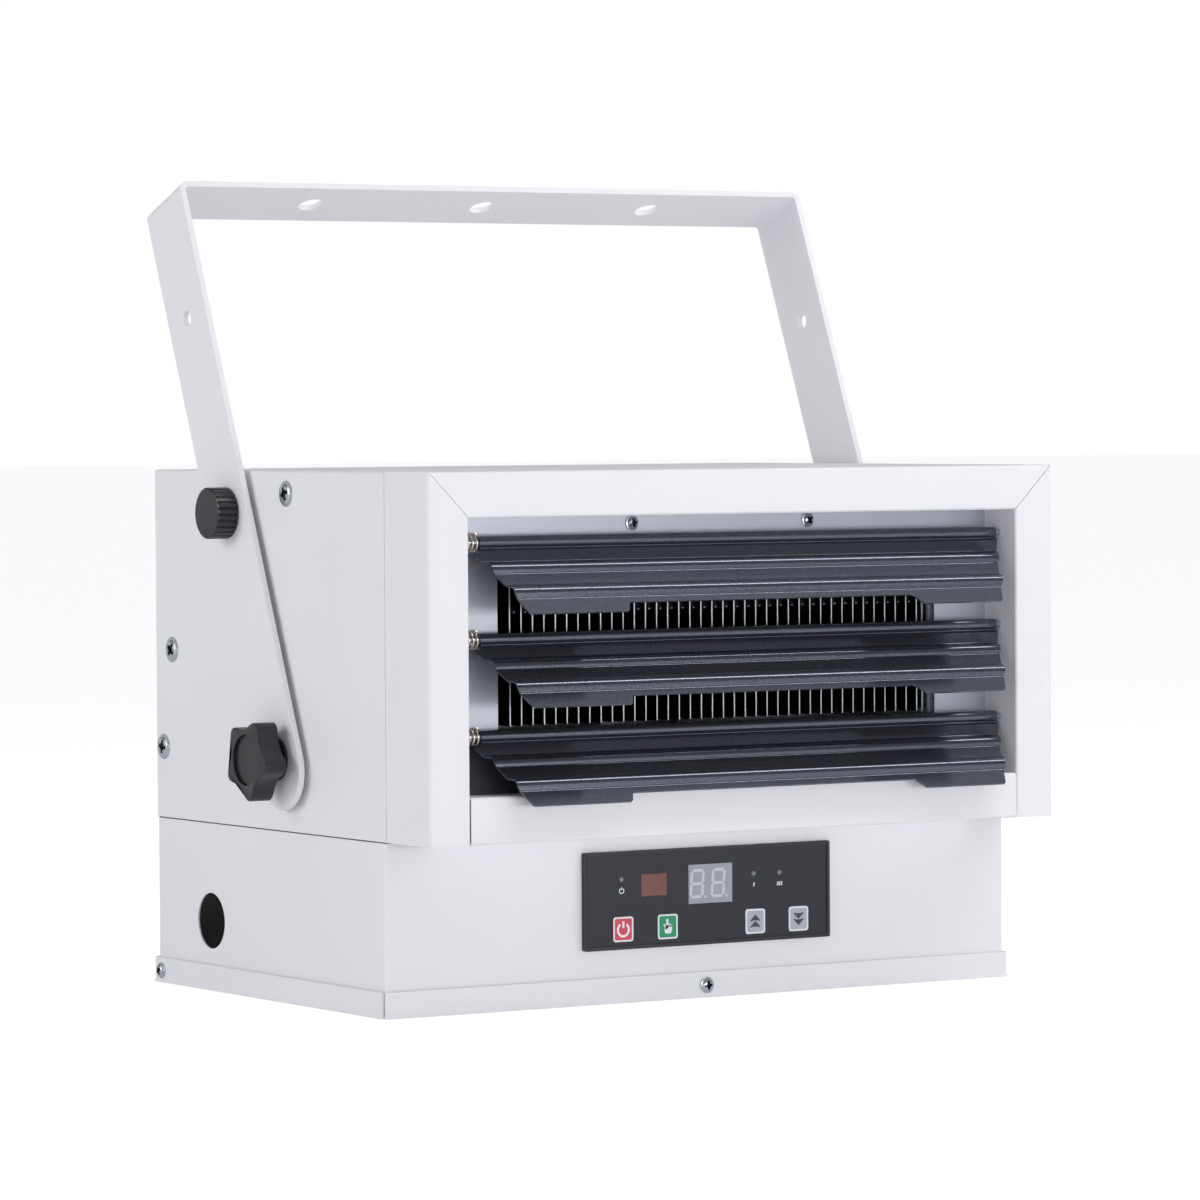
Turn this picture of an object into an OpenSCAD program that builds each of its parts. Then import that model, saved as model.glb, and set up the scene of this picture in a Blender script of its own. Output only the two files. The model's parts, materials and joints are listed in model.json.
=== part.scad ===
// Ceiling mounted fan heater: a sheet metal heater that hangs in a tilting
// strip bracket, with three adjustable louvres and a control panel below.
// Millimetres. X runs to the right, Y to the back and Z up. The origin is the
// centre of the middle ceiling hole, on the bracket's ceiling face.

/* [Casings] */
// Width over the side walls
body_w = 370; // [330:1:450]
// Depth over the front frame and the rear panel
body_d = 279; // [250:1:340]
// Height of the upper casing with the front frame
upper_h = 180; // [168:1:220]
// Height of the lower casing with its cover
lower_h = 86; // [72:1:110]
// Thickness of the casing sheet
sheet_t = 1; // [0.8:0.1:1.4]
// Distance from the front of the frame back to the lower casing
lower_setback = 43.5; // [42.5:0.5:60]
// Height of the upstand round the bottom cover
cover_h = 13; // [10:0.5:16]
// Diameter of the cable entry hole
cable_hole_d = 28.6; // [20:0.1:34]

/* [Front frame] */
// Depth of the front frame
frame_d = 42; // [38:1:50]
// Width of the frame's face
face_w = 22.6; // [18:0.1:26]
// Depth of the recess from the frame's front to the outlet plate
recess_d = 27; // [25:0.5:30]

/* [Bracket] */
// Width of the bracket strip
strip_w = 40; // [34:1:50]
// Thickness of the bracket strip
strip_t = 3; // [2:0.5:5]
// Distance from the pivot up to the ceiling face
arm_len = 307; // [270:1:370]
// Angle that the bracket leans back at rest
tilt = 22.5; // [0:0.5:45]
// Diameter of the ceiling holes
ceiling_hole_d = 13.5; // [8:0.5:16]
// Distance between neighbouring ceiling holes
ceiling_hole_pitch = 104; // [80:1:130]
// Distance from the circle of index holes to the nearest edge of the side wall
index_edge = 7.5; // [7.5:0.5:19.5]

/* [Louvres] */
// Number of louvres
louvre_n = 3; // [3:3]
// Thickness of the louvre sheet
louvre_t = 0.9; // [0.7:0.1:1.2]
// Outside diameter of the rolled edge that turns on the hinge pins
roll_d = 5.6; // [5.2:0.1:6.4]
// Diameter of the hinge pins
pin_d = 3.2; // [2.6:0.1:3.4]
// Setback of the lip's corners from the ends of the rolled edge
lip_setback = 14.5; // [10:0.5:20]

/* [Heating element] */
// Number of fins
fin_n = 38; // [20:1:40]
// Distance from fin to fin
fin_pitch = 6.57; // [6:0.01:6.7]
// Depth of the fins
fin_d = 40; // [30:1:50]
// Diameter of the heater tubes
tube_d = 8; // [6:0.5:10]

/* [Fan] */
// Diameter over the fan blades
fan_d = 156; // [130:1:160]
// Number of fan blades
blade_n = 5; // [3:1:7]
// Angle of the blades to the plane of the fan
blade_pitch = 28; // [20:1:35]
// Diameter of the motor
motor_d = 78; // [66:1:90]

/* [Control panel] */
// Width of the control panel
panel_w = 147; // [140:1:170]
// Height of the control panel
panel_h = 49; // [45:1:56]
// Width of a push button
button_w = 11.8; // [10:0.1:14]
// Height of a push button
button_h = 12.4; // [10:0.1:14]

/* [Knobs] */
// Diameter over the lobes of the star knob
star_d = 41.4; // [34:0.2:46]
// Diameter of the round lock knob
lock_d = 26; // [20:1:30]
// Number of ribs round the lock knob
lock_ribs = 25; // [20:1:36]

/* [Hidden] */
$fn = 48;

// General clearances
eps = 0.01;
seat = 0.3;            // gap between pieces that are fitted but stay separate
seam = 0.6;            // visible seam between the casings
mitre_gap = 0.3;       // fine seam between the members of the front frame
run_r = 0.05;          // radial running clearance of the pins and the shaft
bend = sheet_t + 0.6;  // outside radius of the sheet's bends

// Frame of the heater: its origin is on the pivot axis, midway between the arms
pivot_drop = 143.5;    // pivot below the top of the upper casing
pivot_at = [0, -arm_len * sin(tilt), -arm_len * cos(tilt)];
side_x = body_w / 2;
front_y = -body_d / 2;
rear_y = body_d / 2;
top_z = pivot_drop;
index_r = min(rear_y, top_z) - index_edge;
seam_z = top_z - upper_h;
base_z = seam_z - lower_h;

// Front frame and its opening
frame_back_y = front_y + frame_d;
plate_y = front_y + recess_d;
open_x = side_x - face_w;
open_top = top_z - face_w;
open_bottom = seam_z + face_w + 0.4;
rail_h = open_bottom - seam_z;
deflector_y = plate_y - 8;
rail_return = deflector_y - sheet_t - seat - front_y;

// Lower casing and its cover
lower_y = front_y + lower_setback;
lower_top = seam_z - seam;
floor_z = base_z + sheet_t;
cover_gap = 0.5;
cover_side_gap = 1;
corner_slit = 0.8;
cable_hole_y = rear_y - 57.5;
cable_hole_up = 35.5;  // above the base
cover_screw_y = rear_y - 6.5;
cover_screw_up = 6.2;
screw_d = 3.5;         // shank of the sheet metal screws
screw_hole_d = screw_d + 0.4;

// Bracket
arm_gap = 3.1;
arm_in = side_x + arm_gap;
arm_out = arm_in + strip_t;
arm_end_drop = 6;      // centre of the rounded end below the pivot
strip_bend = 2;
pivot_hole_d = 8.4;
index_hole_d = 6.6;
spare_hole_d = 8;
spare_hole_r = 239;
star_stud_d = 8;
lock_stud_d = 6;
free_index = [0, 67.5, 90];
insert_len = 9;
insert_flange = 3.6;   // wider than the insert's bore

// Knobs
star_steps = 80;
star_h = 12;           // height of the lobed grip
star_hub_h = 6.1;      // hub between the grip and the arm
star_edge = 0.6;
lock_h = 11.4;

// Louvres: hinge places, rest angles from vertical and the blade's outline
hinge_y = front_y + 15;
hinge_below_top = 11.8;
hinge_above_rail = 28.5;
louvre_pitch = (open_top - hinge_below_top - open_bottom - hinge_above_rail) / (louvre_n - 1);
louvre_rest = [40.4, 44.7, 43.8];
roll_left = -open_x + 13.6;
roll_right = open_x - 1.7;
louvre_mid = (roll_left + roll_right) / 2;
roll_half = (roll_right - roll_left) / 2;
roll_step = 1.5;       // the blade reaches past the roll on the right
pin_reach = 12;        // length of a pin inside the rolled edge
// Down the blade and forward of it: the flats and the two pressed ribs
blade_line = [
    [0, 0], [3.6, -2], [9.8, -4.4], [13.1, -0.7], [16.6, -4.2],
    [24.7, -3.6], [28.9, 0.4], [33, -3.3], [43.8, -3]
];
blade_bend = 1.5;
blade_h = blade_line[len(blade_line) - 1][0] - 1; // the outline trims the last millimetre
notch_depth = 5.8;
notch_sides = [2.6, 4.8]; // how far its left and right flanks lean
notch_half = roll_half - 67;
notch_mid = louvre_mid + 3.8;
lip_round = 1.6;       // radius of the lip's corners
ear = 3.6;             // the first flat reaches under the spring
spring_d = 8.4;        // over the middle of the wire
wire_d = 1;
coil_turns = 5;
coil_steps = 8;
spring_len = roll_left + open_x - 2 * seat;

// Heating element
window_x = open_x - 32;
window_top = open_top - 20;
window_bottom = open_bottom + 30.5;
plate_foot = 4.5;      // plate below the window
window_flange = 8;
plate_screw_x = 52.5;
fin_front = plate_y + 3.3;
fin_back = fin_front + fin_d;
fin_t = 0.6;
fin_top = window_top - 1.5;
fin_bottom = window_bottom + 1.5;
fin_z = (fin_top + fin_bottom) / 2;
tube_up = 16.5;        // tube rows above and below the middle of the fins
tube_rows = [fin_z - tube_up, fin_z + tube_up];
tube_cols = [fin_front + 10, fin_back - 10];
collar_d = tube_d + 2;
bracket_x = fin_pitch * (fin_n - 1) / 2 + 7;
shield_x = bracket_x + 24;

// Fan and motor
fan_z = seam_z + upper_h / 2;
shroud_y = fin_back + 40;
ring_r = fan_d / 2 + 4;
fan_y = shroud_y + 10;
hub_d = 34;
hub_h = 18;
hub_recess = 5;
nut_h = 4.5;
shaft_d = 8;
motor_y = shroud_y + 34;
motor_len = 46;
strap_y = motor_y + 12;

// Rear panel
rear_flange = 12;
grille_r = ring_r;     // as wide as the ring round the fan
ring_w = 6;
web_w = 4;
spoke_w = 7;
grille_rings = 7;

// Control panel, centred on panel_x
panel_x = 0.7;
panel_z = seam_z - 34.6;
bezel_proud = 3;
bezel_rim = 1.8;
overlay_sink = 0.5;
overlay_t = 1.2;
overlay_y = lower_y - bezel_proud + overlay_sink;
key_pitch = 26.3;
key_row = -14.4;
key_x = [-2 * key_pitch + 1.6, -key_pitch + 1.6, key_pitch + 1.6, 2 * key_pitch + 1.6];
key_travel = 0.5;
key_proud = 0.4;
key_gap = 0.3;
lens_d = 2.6;
lens_at = [[-51.6, 10.5], [27.4, 9.8], [43, 9.6]];
receiver_at = [-32.3, 6.9];
receiver_size = [15, 11];
display_at = [1.3, 6];
display_size = [26.2, 19.6];
bezel_step = 1;        // step from the bezel to its tube through the casing
bezel_wall = 1;
bezel_back = 4;
board_y = lower_y + bezel_back;
board_t = 1.6;

white = "#E2E3E7";
light_grey = "#B4B7BD";
charcoal = "#43464E";
black = "#26272B";
zinc = "#C3C8CC";
nickel = "#B9AFA4";

// ---- Placing -------------------------------------------------------------

// The heater's own frame, with its origin on the pivot axis
module heater() translate(pivot_at) children();

// The bracket's frame: the same origin, leaning back by the tilt
module leaning() heater() rotate([-tilt, 0, 0]) children();

// On the left (side = -1) or right (side = 1) wall, with +Z pointing outwards
module on_side(side, y, z, x = side_x) translate([side * x, y, z]) rotate([0, side * 90, 0]) children();

// Facing the front, with +Z pointing forwards
module facing(x, y, z) translate([x, y, z]) rotate([90, 0, 0]) children();

// Where an index place lies, at an angle back from straight up
function index_at(angle) = [index_r * sin(angle), index_r * cos(angle)];

function hinge_z(i) = open_top - hinge_below_top - i * louvre_pitch;

// ---- Shared shapes -------------------------------------------------------

// Rectangle with rounded corners, standing on the X axis
module round_rect(w, h, r) {
    translate([-w / 2, r]) square([w, h - 2 * r]);
    translate([-w / 2 + r, 0]) square([w - 2 * r, h]);
    for (x = [-w / 2 + r, w / 2 - r], y = [r, h - r]) translate([x, y]) circle(r);
}

// Inverted U of sheet: its inside is w by h, and its lower ends are open
module sheet_arch(w, h, t, r_in) difference() {
    translate([0, -h]) arch(w + 2 * t, 2 * h + t, r_in + t);
    translate([0, -h - 1]) arch(w, 2 * h + 1, r_in);
    translate([-w, -2 * h - 2]) square([2 * w, 2 * h + 2]);
}

// Rectangle with its two upper corners rounded
module arch(w, h, r) {
    translate([-w / 2, 0]) square([w, h - r]);
    translate([-w / 2 + r, 0]) square([w - 2 * r, h]);
    for (s = [-1, 1]) translate([s * (w / 2 - r), h - r]) circle(r);
}

// Folded channel: face w wide, with walls d1 and d2 deep at its two edges
module channel(w, d1, d2) {
    translate([0, bend]) square([sheet_t, d1 - bend]);
    translate([w - sheet_t, bend]) square([sheet_t, d2 - bend]);
    translate([bend, 0]) square([w - 2 * bend, sheet_t]);
    translate([bend, bend]) quarter_bend();
    translate([w - bend, bend]) mirror([1, 0]) quarter_bend();
}

module quarter_bend() intersection() {
    difference() {
        circle(bend);
        circle(bend - sheet_t);
    }
    translate([-bend, -bend]) square(bend);
}

// Screw with a domed head of diameter d, its head above Z = 0 and its shank below
module dome_screw(d, head_h, shank_d, shank) {
    head_r = (pow(d / 2, 2) + pow(head_h, 2)) / (2 * head_h);
    slot = d * 0.5;
    difference() {
        intersection() {
            translate([0, 0, head_h - head_r]) sphere(head_r);
            cylinder(d = d, h = head_h + 1);
        }
        for (a = [0, 90]) rotate(a) translate([-slot / 2, -slot / 8, head_h * 0.35])
            cube([slot, slot / 4, head_h]);
    }
    translate([0, 0, -shank]) cylinder(d = shank_d, h = shank + head_h * 0.2);
}

// ---- Bracket and its fittings --------------------------------------------

module mounting_bracket() color(white) leaning() difference() {
    intersection() {
        rotate([90, 0, 0]) translate([0, 0, -strip_w / 2]) linear_extrude(strip_w)
            difference() {
                translate([0, -strip_w]) arch(2 * arm_out, arm_len + strip_w, strip_bend + strip_t);
                translate([0, -strip_w - 1]) arch(2 * arm_in, arm_len - strip_t + strip_w + 1, strip_bend);
            }
        rotate([90, 0, 90]) translate([0, 0, -arm_out - 1]) linear_extrude(2 * arm_out + 2) {
            translate([-strip_w / 2, -arm_end_drop]) square([strip_w, arm_len + arm_end_drop + 1]);
            translate([0, -arm_end_drop]) circle(d = strip_w);
        }
    }
    for (i = [-1 : 1]) translate([i * ceiling_hole_pitch, 0, arm_len - strip_t - 1])
        cylinder(d = ceiling_hole_d, h = strip_t + 2);
    for (s = [-1, 1]) {
        on_side(s, 0, 0, arm_in - 1) cylinder(d = pivot_hole_d, h = strip_t + 2);
        on_side(s, 0, index_r, arm_in - 1) cylinder(d = index_hole_d, h = strip_t + 2);
        on_side(s, 0, spare_hole_r, arm_in - 1) cylinder(d = spare_hole_d, h = strip_t + 2);
    }
}

// Radius of the star knob's outline: five lobes with hollow flanks between them
function star_r(a) = star_d / 2 - 3.05 + 2.6 * cos(5 * a) + 0.45 * cos(10 * a);

// Closed skin through rings of points, from the first ring to the last
module skin(rings) {
    n = len(rings[0]);
    m = len(rings);
    polyhedron(
        points = [for (r = rings) each r],
        faces = concat(
            [[for (j = [0 : n - 1]) j]],
            [for (i = [0 : m - 2], j = [0 : n - 1]) let (k = (j + 1) % n, low = i * n, high = low + n)
                each [[low + j, high + j, low + k], [low + k, high + j, high + k]]],
            [[for (j = [n - 1 : -1 : 0]) (m - 1) * n + j]]
        )
    );
}

// Star knob along +Z: it stands on the arm's outer face at Z = 0
module star_knob(turn) {
    edge = [for (a = [0 : 30 : 90]) [star_edge * sin(a), star_edge * (1 - cos(a))]];
    levels = concat(
        [for (i = [3 : -1 : 0]) [star_hub_h + star_edge - edge[i][0], edge[i][1]]],
        [for (e = edge) [star_hub_h + star_h - star_edge + e[0], e[1]]]
    );
    rotate(turn) difference() {
        skin([for (l = levels) [for (j = [0 : star_steps - 1]) let (a = j * 360 / star_steps)
            [(star_r(a) - l[1]) * cos(a), (star_r(a) - l[1]) * sin(a), l[0]]]]);
        translate([0, 0, star_hub_h + star_h - 1.4]) cylinder(d = 25.6, h = 3);
    }
    translate([0, 0, seat]) cylinder(d = 18, h = star_hub_h);
    translate([0, 0, seat]) cylinder(d = 22, h = 1.4);
    translate([0, 0, -(arm_gap + strip_t + 9)]) cylinder(d = star_stud_d, h = arm_gap + strip_t + 11);
}

module star_knob_left() color(black) heater() on_side(-1, 0, 0, arm_out) star_knob(117);
module star_knob_right() color(black) heater() on_side(1, 0, 0, arm_out) star_knob(63);

// Round ribbed knob along +Z, standing on the arm's outer face
module lock_knob() {
    step = 360 / lock_ribs;
    rim = lock_d / 2;
    intersection() {
        translate([0, 0, seat]) linear_extrude(lock_h) polygon([for (i = [0 : lock_ribs - 1])
            each [for (p = [[0, rim - 0.8], [0.18, rim], [0.68, rim], [0.86, rim - 0.8]])
                [p[1] * cos((i + p[0]) * step), p[1] * sin((i + p[0]) * step)]]]);
        rotate_extrude($fn = 96) polygon([
            [0, 0], [rim - 0.6, 0], [rim + 1, 1.6], [rim + 1, lock_h - 0.7],
            [rim - 0.9, lock_h + seat], [0, lock_h + seat]
        ]);
    }
    translate([0, 0, -strip_t]) cylinder(d = lock_stud_d, h = strip_t + 2);
}

module lock_knob_left() color(black) leaning() on_side(-1, 0, index_r, arm_out) lock_knob();
module lock_knob_right() color(black) leaning() on_side(1, 0, index_r, arm_out) lock_knob();

// Washers that hold the arms off the side walls, one round each pivot stud
module spacer_washers() color(zinc) heater() for (s = [-1, 1])
    on_side(s, 0, 0, side_x) difference() {
        cylinder(d = 22, h = arm_gap - seat);
        translate([0, 0, -1]) cylinder(r = star_stud_d / 2 + 0.2, h = arm_gap + 2);
    }

// Flanged insert in a side wall, its flange inside the wall
module threaded_insert(bore_d) translate([0, 0, -sheet_t]) mirror([0, 0, 1]) difference() {
    union() {
        cylinder(d = bore_d + insert_flange, h = 1.2);
        cylinder(d = bore_d + 2.4, h = insert_len);
    }
    translate([0, 0, -1]) cylinder(r = bore_d / 2, h = insert_len + 2);
}

module threaded_inserts() color(zinc) heater() for (s = [-1, 1]) {
    on_side(s, 0, 0) threaded_insert(star_stud_d + 2 * run_r);
    for (a = concat(free_index, [tilt])) on_side(s, index_at(a)[0], index_at(a)[1])
        threaded_insert(lock_stud_d + 2 * run_r);
}

// Room round the inserts, for plates that reach the side walls beside them
module insert_room() for (s = [-1, 1]) {
    room = 2 * run_r + insert_flange + 2 * seat;
    on_side(s, 0, 0, side_x - insert_len - sheet_t - 1) cylinder(d = star_stud_d + room, h = insert_len + 1);
    for (a = concat(free_index, [tilt]))
        on_side(s, index_at(a)[0], index_at(a)[1], side_x - insert_len - sheet_t - 1)
            cylinder(d = lock_stud_d + room, h = insert_len + 1);
}

module index_screws() color(zinc) heater() for (s = [-1, 1], a = free_index)
    on_side(s, index_at(a)[0], index_at(a)[1]) dome_screw(13, 1.5, lock_stud_d, insert_len);

// ---- Front frame ---------------------------------------------------------

// Region that the top rail keeps between its two mitres, seen from the front
module mitre_region() let (wide = side_x - mitre_gap, narrow = wide - 2 * face_w) polygon([
    [-wide, top_z + eps], [wide, top_z + eps],
    [narrow, top_z - 2 * face_w + eps], [-narrow, top_z - 2 * face_w + eps]
]);

module frame_top_rail() color(white) heater() intersection() {
    translate([-side_x, 0, 0]) rotate([90, 0, 90]) linear_extrude(body_w)
        translate([front_y, top_z]) rotate(-90) channel(face_w, frame_d, recess_d);
    rotate([90, 0, 0]) translate([0, 0, -frame_d - front_y]) linear_extrude(frame_d) mitre_region();
}

// Upright member of the frame, cut to the mitre at its top
module stile() difference() {
    translate([-side_x, front_y, seam_z]) linear_extrude(upper_h) channel(face_w, frame_d, recess_d);
    for (i = [0 : louvre_n - 1]) on_side(-1, hinge_y, hinge_z(i), open_x - 1)
        cylinder(d = pin_d, h = sheet_t + 2);
    rotate([90, 0, 0]) translate([0, 0, -frame_d - front_y - 1]) linear_extrude(frame_d + 2) polygon([
        [-side_x - 1, top_z + 1], [-side_x - 1, top_z + 1 + eps], [-side_x + 3 * face_w, top_z + 1],
        [-side_x + 3 * face_w, top_z - 3 * face_w]
    ]);
}

module frame_left_stile() color(white) heater() stile();
module frame_right_stile() color(white) heater() mirror([1, 0, 0]) stile();

module frame_bottom_rail() color(white) heater()
    translate([-open_x + seat, 0, 0]) rotate([90, 0, 90]) linear_extrude(2 * (open_x - seat))
        translate([front_y, seam_z]) mirror([1, -1]) channel(rail_h, frame_d, rail_return);

// ---- Casings -------------------------------------------------------------

// Places of the screws through the cover's upstand and through the rear panel
module at_cover_screws() {
    z = base_z + cover_screw_up;
    facing(0, lower_y - cover_gap - sheet_t, z) children();
    for (x = [-120, 120]) facing(x, rear_y + cover_gap + sheet_t, z) mirror([0, 0, 1]) children();
    for (s = [-1, 1]) on_side(s, cover_screw_y, z, side_x + cover_side_gap + sheet_t) children();
}

module at_rear_screws() {
    edge = rear_flange / 2 + 0.5;
    for (s = [-1, 1], z = [seam_z + 24, top_z - 24])
        facing(s * (side_x - edge), rear_y, z) mirror([0, 0, 1]) children();
    facing(0, rear_y, top_z - edge) mirror([0, 0, 1]) children();
}

module screw_holes() translate([0, 0, -6]) cylinder(d = screw_hole_d, h = 8);

// Drilled holes for the pivot and index inserts, through both side walls
module side_holes() for (s = [-1, 1]) {
    on_side(s, 0, 0, side_x - 5) cylinder(d = star_stud_d + 2, h = 10);
    for (a = concat(free_index, [tilt])) on_side(s, index_at(a)[0], index_at(a)[1], side_x - 5)
        cylinder(d = lock_stud_d + 2, h = 10);
}

// Side walls and top in one sheet, with return flanges at the back
module upper_casing() color(white) heater() difference() {
    union() {
        casing_length = body_d - frame_d - seat;
        translate([0, rear_y, seam_z]) rotate([90, 0, 0]) linear_extrude(casing_length)
            sheet_arch(body_w - 2 * sheet_t, upper_h - sheet_t, sheet_t, bend - sheet_t);
        translate([0, rear_y - sheet_t - eps, seam_z]) rotate([90, 0, 0]) linear_extrude(sheet_t)
            sheet_arch(body_w - 2 * rear_flange, upper_h - rear_flange, rear_flange - sheet_t / 2, 0.5);
    }
    side_holes();
    at_rear_screws() screw_holes();
}

// Floor of the upper casing, on the lower casing's top flanges
module divider_plate() color(light_grey) heater() difference() {
    translate([-side_x + sheet_t + seat, frame_back_y + seat, lower_top])
        cube([body_w - 2 * sheet_t - 2 * seat, rear_y - 2 * sheet_t - 2 * seat - frame_back_y, sheet_t]);
    translate([side_x - 60, rear_y - 60, lower_top - 1]) cylinder(d = 24, h = sheet_t + 2);
}

// Front, sides and back of the lower casing, with flanges round its open top
module lower_casing() color(white) heater() {
    wall_h = lower_top - floor_z;
    depth = rear_y - lower_y;
    flange = 12;
    difference() {
        translate([0, lower_y, floor_z]) linear_extrude(wall_h) round_rect(body_w, depth, bend);
        translate([0, lower_y + sheet_t, floor_z - 1]) linear_extrude(wall_h + 1 - sheet_t)
            round_rect(body_w - 2 * sheet_t, depth - 2 * sheet_t, bend - sheet_t);
        translate([0, lower_y + flange, floor_z - 2]) linear_extrude(wall_h + 4)
            round_rect(body_w - 2 * flange, depth - 2 * flange, 4);
        on_side(-1, cable_hole_y, base_z + cable_hole_up, side_x - 5) cylinder(d = cable_hole_d, h = 10);
        facing(panel_x, lower_y + 5, panel_z) linear_extrude(10)
            square([panel_w - 2 * bezel_step, panel_h - 2 * bezel_step], center = true);
        at_cover_screws() screw_holes();
    }
}

// Pan under the lower casing: a floor with four upstands and open corners
module bottom_cover() color(white) heater() {
    outer_x = side_x + cover_side_gap + sheet_t;
    outer_y0 = lower_y - cover_gap - sheet_t;
    outer_y1 = rear_y + cover_gap + sheet_t;
    difference() {
        translate([0, outer_y0, base_z]) union() {
            translate([-outer_x, 0, 0]) cube([2 * outer_x, outer_y1 - outer_y0, sheet_t]);
            translate([-outer_x, 0, 0]) cube([2 * outer_x, sheet_t, cover_h]);
            translate([-outer_x, outer_y1 - outer_y0 - sheet_t, 0]) cube([2 * outer_x, sheet_t, cover_h]);
            for (s = [-1, 1]) translate([s * (outer_x - sheet_t / 2) - sheet_t / 2, sheet_t + corner_slit, 0])
                cube([sheet_t, outer_y1 - outer_y0 - 2 * sheet_t - 2 * corner_slit, cover_h]);
        }
        for (s = [-1, 1], y = [outer_y0 - 1, outer_y1 - sheet_t - 1])
            translate([s * outer_x - corner_slit, y, floor_z]) cube([2 * corner_slit, sheet_t + 2, cover_h]);
        at_cover_screws() screw_holes();
    }
}

module cover_screws() color(zinc) heater() at_cover_screws() dome_screw(8.2, 2.2, screw_d, 6);

// ---- Rear ----------------------------------------------------------------

// Ring-shaped slots of the intake, broken by spokes
module intake_slots() difference() {
    for (i = [0 : grille_rings - 1]) let (r = grille_r - i * (ring_w + web_w)) difference() {
        circle(r);
        circle(r - ring_w);
    }
    for (a = [0 : 45 : 135]) rotate(a) square([2 * grille_r + 2, spoke_w], center = true);
}

module rear_panel() color(white) heater() difference() {
    translate([0, rear_y, lower_top + sheet_t + seat]) rotate([90, 0, 0]) linear_extrude(sheet_t)
        arch(body_w - 2 * sheet_t - 2 * seat, upper_h + seam - 2 * sheet_t - 2 * seat, bend - sheet_t);
    translate([0, rear_y + 1, fan_z]) rotate([90, 0, 0]) linear_extrude(sheet_t + 2) intake_slots();
    at_rear_screws() screw_holes();
}

module rear_screws() color(zinc) heater() at_rear_screws() dome_screw(8, 2.2, screw_d, 6);

// ---- Outlet --------------------------------------------------------------

// Plate behind the louvres: a window with flanges turned back round it
module outlet_plate() color(light_grey) heater() {
    side = open_x + 9;
    top = open_top + 9;
    bottom = window_bottom - plate_foot;
    difference() {
        union() {
            translate([-side, plate_y, bottom]) cube([2 * side, sheet_t, top - bottom]);
            translate([-window_x - sheet_t, plate_y, window_bottom - sheet_t])
                cube([2 * (window_x + sheet_t), window_flange, window_top - window_bottom + 2 * sheet_t]);
        }
        translate([-window_x, plate_y - 1, window_bottom])
            cube([2 * window_x, window_flange + 2, window_top - window_bottom]);
        at_plate_screws() translate([0, 0, -5]) cylinder(d = screw_hole_d, h = 10);
    }
}

module at_plate_screws() for (s = [-1, 1]) facing(s * plate_screw_x, plate_y, open_top - 4) children();

module plate_screws() color(zinc) heater() at_plate_screws() dome_screw(7.6, 2.2, screw_d, 7);

// Dark sheet that slopes from the foot of the outlet plate down to the bottom rail
module outlet_deflector() color(black) heater() translate([-open_x + seat, 0, 0]) rotate([90, 0, 90])
    linear_extrude(2 * (open_x - seat)) {
        back_y = plate_y + sheet_t;
        tab_z = window_bottom - sheet_t - seat;
        slope_z = window_bottom - plate_foot - 4;
        foot_z = seam_z + sheet_t + seat;
        polygon([
            [back_y, tab_z], [back_y + sheet_t, tab_z], [back_y + sheet_t, slope_z],
            [deflector_y, open_bottom - 1], [deflector_y, foot_z], [deflector_y - sheet_t, foot_z],
            [deflector_y - sheet_t, open_bottom - 0.6], [back_y, slope_z + 0.4]
        ]);
    }

// ---- Louvres -------------------------------------------------------------

// Points of an open line with its inner corners rounded to arcs of radius r
function unit(v) = v / norm(v);
function rounded_line(p, r, steps = 4) = [
    for (i = [0 : len(p) - 1])
        if (i == 0 || i == len(p) - 1) p[i]
        else let (
            a = unit(p[i - 1] - p[i]), b = unit(p[i + 1] - p[i]),
            half = acos(a * b) / 2, cut = r / tan(half), mid = unit(a + b),
            centre = p[i] + mid * (r / sin(half)),
            from = p[i] + a * cut - centre, to = p[i] + b * cut - centre,
            turn = 180 - 2 * half, way = sign(from[0] * to[1] - from[1] * to[0])
        ) each [for (k = [0 : steps]) let (t = way * turn * k / steps)
            centre + [from[0] * cos(t) - from[1] * sin(t), from[0] * sin(t) + from[1] * cos(t)]]
];

// A line moved sideways by d, joined at the bisectors of its corners
function shifted_line(p, d) = [for (i = [0 : len(p) - 1]) let (
    a = i == 0 ? unit(p[1] - p[0]) : unit(p[i] - p[i - 1]),
    b = i == len(p) - 1 ? a : unit(p[i + 1] - p[i]),
    n = unit([-a[1] - b[1], a[0] + b[0]]), c = n * [-a[1], a[0]]
) p[i] + n * (d / c)];

function reversed(p) = [for (i = [len(p) - 1 : -1 : 0]) p[i]];

// Section of the blade: sheet of thickness louvre_t along the blade's line
module blade_section() {
    line = rounded_line([for (i = [1 : len(blade_line) - 1]) blade_line[i]], blade_bend);
    start = roll_d / 2 - louvre_t / 2;
    full = concat([[0.6, -start]], line);
    polygon(concat(shifted_line(full, louvre_t / 2), reversed(shifted_line(full, -louvre_t / 2))));
}

// Outline of the blade seen square to it: a trapezoid with a shallow notch in its lip
module blade_outline() {
    slope = lip_setback / (blade_h - 4);
    ear_top = spring_d / 2 + wire_d / 2 + seat;
    lip = rounded_line([
        [roll_right, 4], [roll_right - (blade_h - 4) * slope, blade_h],
        [notch_mid + notch_half, blade_h],
        [notch_mid + notch_half - notch_sides[1], blade_h - notch_depth],
        [notch_mid - notch_half + notch_sides[0], blade_h - notch_depth],
        [notch_mid - notch_half, blade_h],
        [roll_left + (blade_h - 4) * slope, blade_h], [roll_left + 8 * slope, 12]
    ], lip_round, 3);
    polygon(concat([[roll_left, -2], [roll_right, -2]], lip, [
        [roll_left + 1.9, 10.6], [roll_left - ear, ear_top + 0.4],
        [roll_left - ear, ear_top], [roll_left, ear_top]
    ]));
}

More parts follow.
